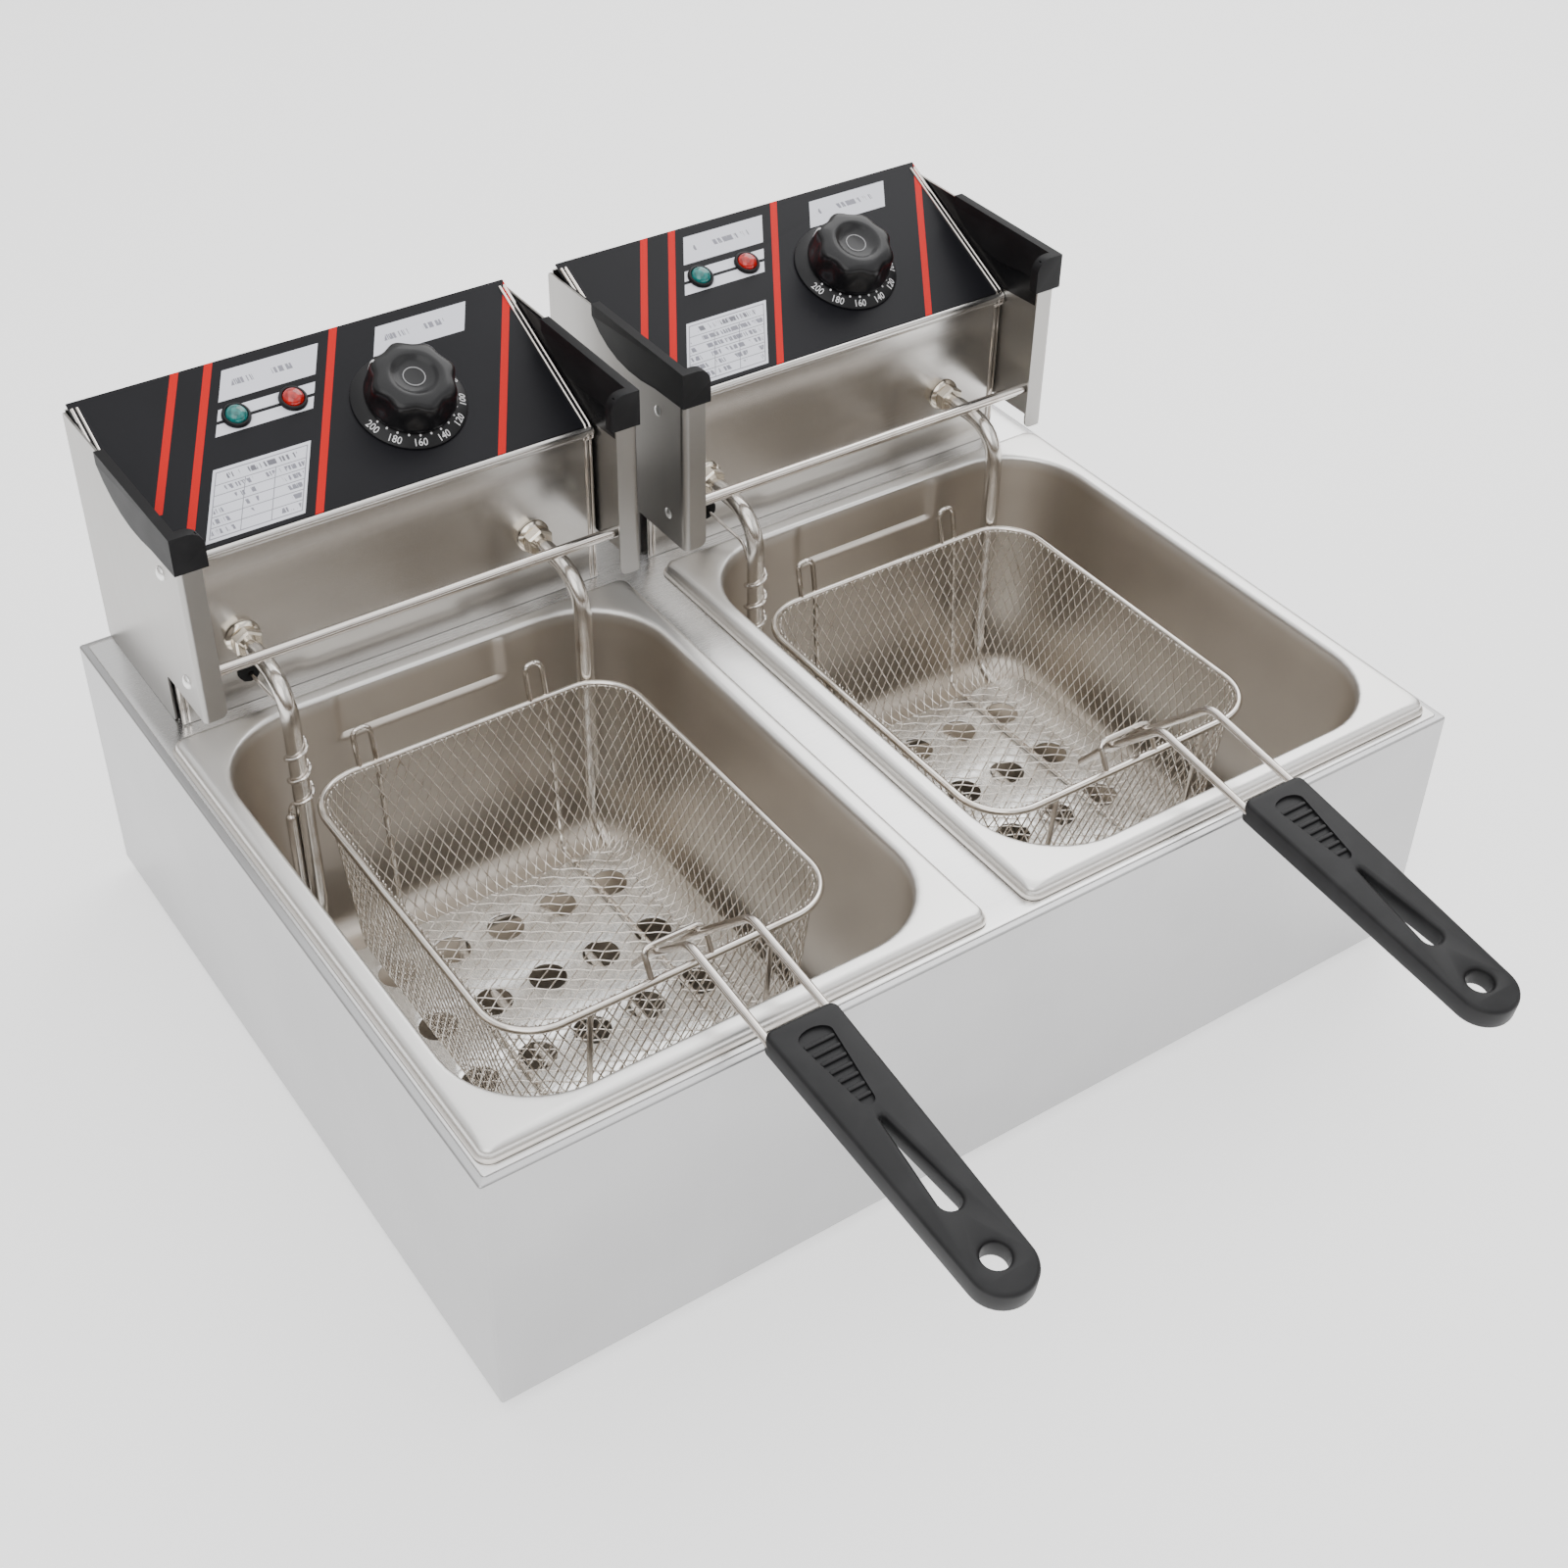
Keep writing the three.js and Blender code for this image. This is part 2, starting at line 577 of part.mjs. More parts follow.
// The sensor: a thin tube from the thermostat through the grommet, wound round the left leg, and
// a bulb beside the leg.
function capillary(x) {
  const legX = x - LEG_X;
  const reach = TUBE_D / 2 + CAPILLARY_D / 2 + 0.5;
  const turns = 2.75;
  const helixTop = 168;
  const helixBottom = BULB.top + 6;
  const startAngle = 0.5 * Math.PI;
  const points = [
    v3(x - 40, 392, GROMMET_Z + 14), v3(x - 55, 386, GROMMET_Z + 4), v3(legX, 372, GROMMET_Z),
    v3(legX, HEAD_FRONT_Y + 8, GROMMET_Z), v3(legX, HEAD_FRONT_Y - 6, GROMMET_Z),
    v3(legX + 2, HEAD_FRONT_Y - 18, GROMMET_Z - 3), v3(legX + 4, 318, helixTop + 4),
  ];
  const steps = 26;
  for (let i = 0; i <= steps; i += 1) {
    const t = i / steps;
    const a = startAngle - t * turns * 2 * Math.PI;
    const z = helixTop + t * (helixBottom - helixTop);
    points.push(v3(legX + reach * Math.cos(a), LEG_Y + reach * Math.sin(a), z));
  }
  const bulbX = legX - BULB.d / 2 - TUBE_D / 2 - 0.5;
  points.push(v3(bulbX, LEG_Y, BULB.top + 2), v3(bulbX, LEG_Y, BULB.top - 3));
  const curve = new THREE.CatmullRomCurve3(points, false, 'catmullrom', 0.4);
  const thread = tubeThrough(curve.getPoints(52), CAPILLARY_D, 5);
  const bulb = bar(v3(bulbX, LEG_Y, BULB.top), v3(bulbX, LEG_Y, BULB.bottom), BULB.d, 8);
  return join(thread, bulb);
}

// A perforated plate that lies on the element and keeps the basket off it.
function guardPlate(x) {
  const half = 102;
  const front = 45;
  const back = 276;
  const thick = 1;
  const shape = new THREE.Shape(roundedRect(2 * half, back - front, 20, 0, (front + back) / 2, 2));
  for (let i = -2; i <= 2; i += 1) {
    for (let j = -2; j <= 2; j += 1) {
      const at = [i * GUARD_PITCH[0], GUARD_MIDDLE_Y + j * GUARD_PITCH[1]];
      shape.holes.push(circleHole(GUARD_HOLE_D / 2, 8, ...at));
    }
  }
  const geometry = new THREE.ExtrudeGeometry(shape, { depth: thick, bevelEnabled: false });
  return geometry.translate(x, 0, GUARD_Z);
}

// ---------------------------------------------------------------- controls

// The thermostat hangs under the panel; its shaft goes up through the panel into the knob.
function thermostat(x) {
  const top = -SHEET - GAP;
  const low = panelPoint(x, ...KNOB_AT, top - 26);
  const high = panelPoint(x, ...KNOB_AT, top);
  const shaftEnd = panelPoint(x, ...KNOB_AT, BEZEL_H + 13);
  return join(bar(low, high, 34, 16), bar(panelPoint(x, ...KNOB_AT, top - 5), shaftEnd, SHAFT_D, 10));
}

// A fixed conical ring with the scale round the knob.
function dialBezel(x) {
  const bore = SHAFT_D / 2 + 1;
  const profile = [
    [bore, GAP], [30.5, GAP], [30.5, 1.3], [22, BEZEL_H], [bore, BEZEL_H], [bore, GAP],
  ];
  return turned(profile, panelPoint(x, ...KNOB_AT), panelNormal, 20);
}

// An eight-lobed knob with a dished top and a blind bore for the shaft.
function knob(x) {
  const foot = panelPoint(x, ...KNOB_AT, BEZEL_H + GAP + 0.3);
  const outline = (grow) => {
    const points = [];
    const count = 32;
    for (let i = 0; i < count; i += 1) {
      const a = (i / count) * 2 * Math.PI;
      const r = 23 + grow + 1.2 * Math.cos(8 * a);
      points.push(v2(r * Math.cos(a), r * Math.sin(a)));
    }
    return new THREE.Shape(points);
  };
  const skirt = new THREE.ExtrudeGeometry(outline(0), {
    depth: 14, bevelEnabled: true, bevelThickness: 2, bevelSize: 2.5, bevelOffset: -2.5, bevelSegments: 1,
  });
  skirt.translate(0, 0, 2);
  const dish = new THREE.CylinderGeometry(17, 14, 3, 14).rotateX(Math.PI / 2).translate(0, 0, 18);
  const bore = new THREE.CylinderGeometry(SHAFT_D / 2 + GAP, SHAFT_D / 2 + GAP, 28, 10);
  bore.rotateX(Math.PI / 2);
  const solid = cut(skirt, dish, bore);
  solid.rotateX(slope);
  return solid.translate(foot.x, foot.y, foot.z);
}

// An indicator lamp: a domed lens in front of the panel and a round body behind it.
function lamp(x, at) {
  const r = 6;
  const stem = LAMP_HOLE_D / 2 - GAP;
  const profile = [
    [0, -20], [stem, -20], [stem, GAP], [r, GAP], [r, 1.5], [r * 0.8, 3.6], [r * 0.4, 4.6], [0, 4.9],
  ];
  return turned(profile, panelPoint(x, ...at), panelNormal, 10);
}

// The cable entry in the back of the head, bored through for a mains cable.
function cordGland(x) {
  const bore = 4.5;
  const r = GLAND_D / 2;
  const inside = -SHEET - GAP - 6;
  const profile = [
    [bore, inside], [r + 3, inside], [r + 3, -SHEET - GAP], [r, -SHEET - GAP], [r, GAP],
    [r + 3, GAP], [r + 3, 7], [r + 1, 13], [bore + 1, 16], [bore, 16], [bore, inside],
  ];
  return turned(profile, v3(x + GLAND_X, HEAD_BACK_Y, GLAND_Z), v3(0, 1, 0), 10);
}

// The overheating cut-out inside the head, right behind its reset button.
function cutOut(x) {
  const gap = BUTTON_TRAVEL + 0.6;
  const y = HEAD_BACK_Y - SHEET - 4 - gap;
  const can = bar(v3(x + RESET_X, y - 14, RESET_Z), v3(x + RESET_X, y, RESET_Z), 22, 14);
  const foot = block(x + RESET_X - 8, x + RESET_X + 8, y - 12, y - 4, DECK_Z + 2 * GAP + SHEET, RESET_Z);
  return join(can, foot);
}

function resetButton(x) {
  const profile = [
    [0, -SHEET - 3], [BUTTON_D / 2 + 1.4, -SHEET - 3], [BUTTON_D / 2 + 1.4, -SHEET - GAP],
    [BUTTON_D / 2, -SHEET - GAP], [BUTTON_D / 2, 2.6], [BUTTON_D / 2 - 0.8, 3.4], [0, 3.4],
  ];
  return turned(profile, v3(x + RESET_X, HEAD_BACK_Y, RESET_Z), v3(0, 1, 0), 10);
}

// ---------------------------------------------------------------- basket

const basketFloorZ = GUARD_Z + 1 + GAP + WIRE_D + GAP;

// The plain bin that the woven mesh fills: thin walls, open top.
function basketMesh(x) {
  const thick = 1.5;
  const inset = RIM_WIRE_D / 2 + GAP;
  const ring = (lean, z, grow) => ({
    w: BASKET_W - 2 * (inset + lean - grow),
    d: BASKET_D - 2 * (inset + lean - grow),
    r: Math.max(BASKET_CORNER - inset - lean * 0.3 + grow, 8),
    z,
  });
  const fillet = 12;
  const top = BASKET_RIM_Z + 1;
  const round = fillet * (1 - Math.SQRT1_2);
  const low = basketFloorZ;
  const rings = [
    ring(BASKET_TAPER + fillet, low + thick, -thick),
    ring(BASKET_TAPER + round, low + thick + round, -thick),
    ring(BASKET_TAPER, low + fillet, -thick),
    ring(0, top, -thick),
    ring(0, top, 0),
    ring(BASKET_TAPER, low + fillet, 0),
    ring(BASKET_TAPER + round, low + round, 0),
    ring(BASKET_TAPER + fillet, low, 0),
  ];
  return lofted(rings, x, BASKET_Y, 4);
}

// Rim wire, two long wires that run down the front, under the floor and up the back into a hook
// each, and the loop on the front rim that the handle clips into.
function basketFrame(x) {
  const halfW = BASKET_W / 2;
  const halfD = BASKET_D / 2;
  const rimLoop = roundedRect(BASKET_W, BASKET_D, BASKET_CORNER, x, BASKET_Y, 4);
  const ringPoints = rimLoop.map((p) => v3(p.x, p.y, BASKET_RIM_Z));
  const split = rimLoop.length / 2;
  const rimWire = (list) => tubeThrough(list, RIM_WIRE_D, 6);
  const first = rimWire(ringPoints.slice(0, split + 1));
  const second = rimWire([...ringPoints.slice(split), ringPoints[0]]);
  const knuckles = [ringPoints[0], ringPoints[split]].map((p) => {
    return new THREE.SphereGeometry(RIM_WIRE_D / 2 + 0.15, 8, 6).translate(p.x, p.y, p.z);
  });
  const pieces = [first, second, ...knuckles];
  const frontY = BASKET_Y - halfD;
  const backY = BASKET_Y + halfD;
  const floorZ = GUARD_Z + 1 + GAP + WIRE_D / 2;
  const out = WIRE_D / 2 + 0.2 - RIM_WIRE_D / 2;
  for (const side of [-1, 1]) {
    const sx = x + side * STRUT_X;
    const hook = 5.5;
    const top = BASKET_RIM_Z + 21;
    const points = [
      v3(sx, frontY + out, BASKET_RIM_Z), v3(sx, frontY + BASKET_TAPER + out, floorZ),
      v3(sx, backY - BASKET_TAPER - out, floorZ), v3(sx, backY - out + 0.6, BASKET_RIM_Z),
      v3(sx, backY + 5, top), v3(sx - 2 * hook, backY + 5, top), v3(sx - 2 * hook, backY, BASKET_RIM_Z),
    ];
    pieces.push(sweptTube(roundedPath(points, 5), WIRE_D, 2, 5));
  }
  const foot = 16.5;
  const loop = [
    v3(x - foot, frontY, BASKET_RIM_Z), v3(x - foot, frontY + 8, BASKET_RIM_Z + 15),
    v3(x + foot, frontY + 8, BASKET_RIM_Z + 15), v3(x + foot, frontY, BASKET_RIM_Z),
  ];
  pieces.push(sweptTube(roundedPath(loop, 4), WIRE_D, 2, 5));
  return join(...pieces);
}

// Two rods from inside the grip, over the pan's edge, then down under the basket's front loop.
function rodPoints(x, side, inGrip) {
  const [nearY, nearZ] = HANDLE_NEAR;
  const fall = (HANDLE_NEAR[1] - HANDLE_FAR[1]) / (HANDLE_NEAR[0] - HANDLE_FAR[0]);
  const at = (y) => nearZ + fall * (y - nearY);
  const frontY = BASKET_Y - BASKET_D / 2;
  return [
    v3(x + side * HANDLE_ROD_X, nearY - inGrip, at(nearY - inGrip)),
    v3(x + side * HANDLE_ROD_X, 47, at(47)),
    v3(x + side * 11, frontY + 8, BASKET_RIM_Z + 9.6),
    v3(x + side * 10, frontY + 26, BASKET_RIM_Z - 13),
  ];
}

function handleFrame(x) {
  const rods = [-1, 1].map((side) => {
    return sweptTube(roundedPath(rodPoints(x, side, ROD_IN_GRIP), 5), HANDLE_ROD_D, 3, 6);
  });
  const [left, right] = [-1, 1].map((side) => rodPoints(x, side, ROD_IN_GRIP - 3)[0]);
  const tie = bar(left, right, HANDLE_ROD_D - 0.4, 6);
  return join(...rods, tie);
}

// A flat grip with a pointed slot and a hole to hang it by, bored for the rods.
function handleGrip(x) {
  const [nearY, nearZ] = HANDLE_NEAR;
  const [farY, farZ] = HANDLE_FAR;
  const length = Math.hypot(nearY - farY, nearZ - farZ);
  const tilt = Math.atan2(nearZ - farZ, nearY - farY);
  const halfNear = 18.5;
  const halfFar = 15.5;
  const points = [];
  const arc = 8;
  for (let i = 0; i <= arc; i += 1) {
    const a = Math.PI + (i / arc) * Math.PI;
    points.push(v2(halfFar * Math.cos(a), -length + halfFar + halfFar * Math.sin(a)));
  }
  points.push(v2(halfNear, -3), v2(halfNear - 3, 0), v2(-halfNear + 3, 0), v2(-halfNear, -3));
  const outline = new THREE.Shape(points);
  const round = [];
  const slotEnd = -107;
  const slotR = 5.5;
  for (let i = 0; i <= 6; i += 1) {
    const a = Math.PI + (i / 6) * Math.PI;
    round.push(v2(slotR * Math.cos(a), slotEnd + slotR * Math.sin(a)));
  }
  outline.holes.push(new THREE.Path([...round, v2(1.2, -60), v2(-1.2, -60)]));
  outline.holes.push(circleHole(6.5, 12, 0, -length + halfFar + 4));
  const bevel = 1.6;
  const grip = new THREE.ExtrudeGeometry(outline, {
    depth: GRIP_T - 2 * bevel, bevelEnabled: true, bevelThickness: bevel, bevelSize: bevel,
    bevelOffset: -bevel, bevelSegments: 1,
  });
  grip.translate(0, 0, bevel - GRIP_T / 2);
  grip.rotateX(tilt);
  grip.translate(x, nearY, nearZ);
  const fit = HANDLE_ROD_D + 2 * GAP;
  const bores = [-1, 1].map((side) => {
    const start = rodPoints(x, side, ROD_IN_GRIP + GAP)[0];
    const end = rodPoints(x, side, -10)[0];
    return bar(start, end, fit, 8);
  });
  const [left, right] = [-1, 1].map((side) => rodPoints(x, side, ROD_IN_GRIP - 3)[0]);
  return cut(grip, ...bores, bar(left, right, fit - 0.2, 8));
}

// ---------------------------------------------------------------- the two sides

function addSide(name, k) {
  const side = k === 0 ? -1 : 1;
  const head = HEAD_X[k];
  const basket = BASKET_X[k];
  const add = (piece, geometry, material) => addPiece(`${name}_${piece}`, geometry, material);
  add('tank', pan(side * PAN_X), panSteel);
  add('head_case', headCase(head), steel);
  add('head_front', headFront(head), brushed);
  add('control_panel', controlPanel(head), enamel);
  add('cheek_left', cheek(head, -1), steel);
  add('cheek_right', cheek(head, 1), steel);
  add('grip_left', cheekGrip(head, -1), plastic);
  add('grip_right', cheekGrip(head, 1), plastic);
  add('hang_rod', hangRod(head), wire);
  add('element', elementTube(head), wire);
  add('element_nut_left', elementNut(head - LEG_X), wire);
  add('element_nut_right', elementNut(head + LEG_X), wire);
  add('capillary', capillary(head), wire);
  add('capillary_grommet', capillaryGrommet(head), rubber);
  add('guard_plate', guardPlate(head), steel);
  add('thermostat', thermostat(head), plastic);
  add('dial_bezel', dialBezel(head), plastic);
  add('knob', knob(head), plastic);
  add('lamp_green', lamp(head, LAMP_AT.green), greenLens);
  add('lamp_red', lamp(head, LAMP_AT.red), redLens);
  add('cut_out', cutOut(head), plastic);
  add('reset_button', resetButton(head), redLens);
  add('cord_gland', cordGland(head), rubber);
  add('basket_mesh', basketMesh(basket), wire);
  add('basket_frame', basketFrame(basket), wire);
  add('handle_frame', handleFrame(basket), wire);
  add('handle_grip', handleGrip(basket), gripPlastic);
}

addBody();
addSide('left', 0);
addSide('right', 1);

// The origin goes to the middle of the bottom of the whole object's box.
const box = new THREE.Box3().setFromObject(fryer);
const middle = box.getCenter(v3(0, 0, 0));
fryer.position.set(-middle.x, -middle.y, -box.min.z);

export default fryer;
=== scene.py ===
"""Countertop twin-tank electric deep fryer: its looks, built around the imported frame.

Sizes are millimetres, measured from the middle of the body's front face at table height: X to
the right, Y to the back, Z up. `to_row` turns them into the frame's metres.
"""

import logging
import math
from dataclasses import dataclass
from enum import Enum
from functools import lru_cache
from typing import Any, Sequence

import bmesh
import bpy
import numpy as np
from mathutils import Matrix, Vector
from mathutils.geometry import tessellate_polygon


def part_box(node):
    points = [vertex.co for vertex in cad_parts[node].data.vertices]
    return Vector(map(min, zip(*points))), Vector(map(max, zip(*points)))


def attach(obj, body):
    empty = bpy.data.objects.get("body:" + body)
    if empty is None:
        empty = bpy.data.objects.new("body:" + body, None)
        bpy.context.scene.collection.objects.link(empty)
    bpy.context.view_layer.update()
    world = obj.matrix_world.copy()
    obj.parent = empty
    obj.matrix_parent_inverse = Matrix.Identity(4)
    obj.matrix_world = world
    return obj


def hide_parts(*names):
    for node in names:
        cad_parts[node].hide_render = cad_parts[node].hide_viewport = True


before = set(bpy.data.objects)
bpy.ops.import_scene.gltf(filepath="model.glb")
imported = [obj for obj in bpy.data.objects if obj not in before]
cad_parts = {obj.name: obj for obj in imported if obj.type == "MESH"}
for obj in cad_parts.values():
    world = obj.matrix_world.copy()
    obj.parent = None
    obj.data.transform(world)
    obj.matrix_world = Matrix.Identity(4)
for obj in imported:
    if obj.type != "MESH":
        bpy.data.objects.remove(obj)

Array = np.ndarray
LOG = logging.getLogger("fryer")
MM = 0.001
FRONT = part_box("body_shell")[0].y / MM
TAU = 2 * math.pi
WELD = 2e-6
UP = np.array([0.0, 0.0, 1.0])
RIGHT = np.array([1.0, 0.0, 0.0])
SIDES = {"left": -1, "right": 1}


def to_row(points: Array) -> Array:
    """Turns millimetres from the body's front face into the frame's metres."""
    return (np.asarray(points, float) + [0.0, FRONT, 0.0]) * MM


def unit(vectors: Array) -> Array:
    """Scales vectors to length one along their last axis."""
    vectors = np.asarray(vectors, float)
    return vectors / np.maximum(np.linalg.norm(vectors, axis=-1, keepdims=True), 1e-12)


def ease(value: Array) -> Array:
    """Goes smoothly from 0 to 1 as value does: three squares minus two cubes."""
    t = np.clip(value, 0.0, 1.0)
    return t * t * (3 - 2 * t)


def around(sides: int) -> Array:
    """The angles of evenly spaced points round a circle."""
    return np.arange(sides) * TAU / sides


def quarter(steps: int) -> Array:
    """Angles from nothing to a quarter turn."""
    return np.linspace(0, math.pi / 2, steps)


def level(loop: Array, z: float) -> Array:
    """A flat loop's points at one height."""
    return np.column_stack([loop, np.full(len(loop), z)])


# ---------------------------------------------------------------- shaders


class Field:
    """A shader value that Python's operators work on."""

    def __init__(self, shader: "Shader", socket: Any) -> None:
        """Keeps the socket and the shader it belongs to."""
        self.shader = shader
        self.socket = socket

    def _math(self, operation: str, *others: Any) -> "Field":
        """Adds one Math node on this value and the others."""
        inputs = dict(enumerate((self, *others)))
        return self.shader.node("ShaderNodeMath", {"operation": operation}, inputs)

    def __add__(self, other: Any) -> "Field":
        """self + other."""
        return self._math("ADD", other)

    def __mul__(self, other: Any) -> "Field":
        """self * other."""
        return self._math("MULTIPLY", other)

    def __sub__(self, other: Any) -> "Field":
        """self - other."""
        return self._math("SUBTRACT", other)

    def __truediv__(self, other: float) -> "Field":
        """self / other, for a number."""
        return self * (1 / other)

    def __gt__(self, other: Any) -> "Field":
        """1 where self is above other, else 0."""
        return self._math("GREATER_THAN", other)

    def __lt__(self, other: Any) -> "Field":
        """1 where self is below other, else 0."""
        return self._math("LESS_THAN", other)

    def __abs__(self) -> "Field":
        """The value without its sign."""
        return self._math("ABSOLUTE")

    def fraction(self) -> "Field":
        """The part after the decimal point."""
        return self._math("FRACT")

    def sine(self) -> "Field":
        """The sine of the value in radians."""
        return self._math("SINE")

    def most(self, other: Any) -> "Field":
        """The larger of the two."""
        return self._math("MAXIMUM", other)

    def within(self, low: float, high: float) -> "Field":
        """1 between two limits, else 0."""
        return (self > low) * (self < high)

    def remap(self, low: float, high: float, start: float, end: float) -> "Field":
        """Goes smoothly from start to end as the value goes from low to high."""
        settings = {"interpolation_type": "SMOOTHSTEP"}
        return self.shader.node("ShaderNodeMapRange", settings, {0: self, 1: low, 2: high, 3: start, 4: end})


class Shader:
    """One node tree, of a material or of the world."""

    def __init__(self, name: str, owner: Any = None) -> None:
        """Starts an empty tree.

        Args:
            name: The material's name.
            owner: What wears the tree, where it isn't a new material.
        """
        self.material = owner or bpy.data.materials.new(name)
        self.material.use_nodes = True
        self.tree = self.material.node_tree
        self.tree.nodes.clear()

    def node(
        self, kind: str, settings: dict | None = None, inputs: dict | None = None, out: int | str = 0,
    ) -> Field:
        """Adds one node.

        Args:
            kind: The node's type.
            settings: Its properties; "stops" holds a ramp's (place, colour) pairs.
            inputs: Values or Fields for its sockets, by name or number.
            out: The output wanted.

        Returns:
            That output as a Field.
        """
        made = self.tree.nodes.new(kind)
        for key, value in (settings or {}).items():
            if key == "stops":
                ramp = made.color_ramp.elements
                while len(ramp) < len(value):
                    ramp.new(1.0)
                for element, (place, color) in zip(ramp, value):
                    element.position = place
                    element.color = (*color, 1.0)
            else:
                setattr(made, key, value)
        for key, value in (inputs or {}).items():
            if isinstance(value, Field):
                self.tree.links.new(value.socket, made.inputs[key])
            else:
                made.inputs[key].default_value = value
        return Field(self, made.outputs[out])

    def place(self, scale: float | Sequence[float] = 1.0, origin: Sequence[float] = (0, 0, 0)) -> Field:
        """Object coordinates in millimetres from an origin, then stretched by scale."""
        coords = self.node("ShaderNodeTexCoord", out="Object")
        scale = np.ones(3) * scale
        start = tuple(-np.asarray(origin) * scale)
        grow = tuple(scale / MM)
        inputs = {0: coords, 1: grow, 2: start}
        return self.node("ShaderNodeVectorMath", {"operation": "MULTIPLY_ADD"}, inputs)

    def split(self, vector: Field) -> tuple[Field, Field, Field]:
        """The three numbers of a vector."""
        first = self.node("ShaderNodeSeparateXYZ", inputs={0: vector})
        outputs = first.socket.node.outputs
        return first, Field(self, outputs[1]), Field(self, outputs[2])

    def noise(
        self, scale: float | Sequence[float], detail: float = 2.0, origin: Sequence[float] = (0, 0, 0),
    ) -> Field:
        """Noise between 0 and 1 whose grain is 1 / scale millimetres, along each axis or on all three."""
        inputs = {"Vector": self.place(scale, origin), "Scale": 1.0, "Detail": detail}
        return self.node("ShaderNodeTexNoise", inputs=inputs)

    def blend(self, factor: Any, low: Any, high: Any) -> Field:
        """Goes from colour low to colour high as factor goes from 0 to 1."""
        tint = [c if isinstance(c, Field) else (*c, 1.0) for c in (low, high)]
        inputs = {0: factor, 6: tint[0], 7: tint[1]}
        return self.node("ShaderNodeMix", {"data_type": "RGBA"}, inputs, out=2)

    def bump(self, height: Field, depth: float, strength: float = 1.0) -> Field:
        """The normal of a surface whose relief is height times depth millimetres."""
        inputs = {"Height": height, "Distance": depth * MM, "Strength": strength}
        return self.node("ShaderNodeBump", inputs=inputs)

    def surface(self, **inputs: Any) -> bpy.types.Material:
        """Ends the tree in a principled surface.

        Args:
            inputs: Its sockets' values or Fields, with _ for a space in a name.

        Returns:
            The finished material.
        """
        named = {key.replace("_", " "): value for key, value in inputs.items()}
        for key, value in named.items():
            if isinstance(value, tuple) and len(value) == 3:
                named[key] = (*value, 1.0)
        made = self.node("ShaderNodeBsdfPrincipled", inputs=named)
        self.node_output(made)
        return self.material

    def node_output(self, made: Field) -> None:
        """Links a shader to the material's output."""
        output = self.tree.nodes.new("ShaderNodeOutputMaterial")
        self.tree.links.new(made.socket, output.inputs["Surface"])


class Grain(Enum):
    """The way a sheet's brushed lines run, as how fast the pattern changes along X, Y and Z."""

    ACROSS = (0.012, 2.2, 2.2)
    UPRIGHT = (2.2, 2.2, 0.012)
    DEEP = (2.2, 0.012, 2.2)
    SATIN = (0.35, 0.35, 0.35)


@dataclass(frozen=True)
class SheetSteel:
    """Stainless sheet: faint brushed lines and a slow cloudy change in sheen."""

    name: str
    color: tuple[float, float, float] = (0.74, 0.735, 0.725)
    roughness: float = 0.3
    spread: float = 0.08
    grain: Grain = Grain.ACROSS
    depth: float = 0.002

    def build(self) -> bpy.types.Material:
        """Makes the material."""
        s = Shader(self.name)
        lines = s.noise(self.grain.value, 3.0)
        clouds = s.noise(0.012, 2.0, (30, 70, 10))
        streaks = lines.remap(0.3, 0.7, -1.0, 1.0) * (self.spread / 2)
        rough = streaks + clouds * self.spread + (self.roughness - self.spread / 2)
        dark = tuple(c * 0.93 for c in self.color)
        color = s.blend(clouds.remap(0.3, 0.7, 0.0, 1.0), dark, self.color)
        relief = {"Normal": s.bump(lines, self.depth)} if self.depth else {}
        return s.surface(Base_Color=color, Metallic=1.0, Roughness=rough, **relief)


@dataclass(frozen=True)
class PressedSteel:
    """A pressed pan's steel: warm and satin, painted darker inside the pan and lighter on its rim, as painted
    shade and light in the deep pan.
    """

    name: str
    inside: tuple[float, float, float] = (0.66, 0.61, 0.55)
    rim: tuple[float, float, float] = (0.86, 0.85, 0.83)
    rim_height: tuple[float, float] = (157.0, 164.5)

    def build(self) -> bpy.types.Material:
        """Makes the material."""
        s = Shader(self.name)
        _, _, height = s.split(s.place())
        clouds = s.noise(0.015)
        shaded_satin = s.blend(clouds.remap(0.3, 0.7, 0.0, 1.0), tuple(c * 0.94 for c in self.inside), self.inside)
        # Painted shade: below these heights the pan's inside is darker than its rim, for the shade inside the
        # deep tank; the rim is painted lighter as painted light.
        color = s.blend(height.remap(*self.rim_height, 0.0, 1.0), shaded_satin, self.rim)
        return s.surface(Base_Color=color, Metallic=1.0, Roughness=clouds * 0.06 + 0.33)


@dataclass(frozen=True)
class DrawnMetal:
    """Bright drawn wire, rod and turned metal, with a warm tarnish in patches."""

    name: str
    color: tuple[float, float, float] = (0.66, 0.62, 0.57)
    tarnish: tuple[float, float, float] = (0.42, 0.35, 0.28)
    roughness: float = 0.16

    def build(self) -> bpy.types.Material:
        """Makes the material."""
        s = Shader(self.name)
        patches = s.noise(0.06, 3.0)
        specks = s.noise(1.1, 2.0, (9, 2, 4))
        color = s.blend(patches.remap(0.52, 0.78, 0.0, 0.6), self.color, self.tarnish)
        rough = patches * 0.12 + specks * 0.06 + (self.roughness - 0.08)
        return s.surface(Base_Color=color, Metallic=1.0, Roughness=rough, Normal=s.bump(specks, 0.006))


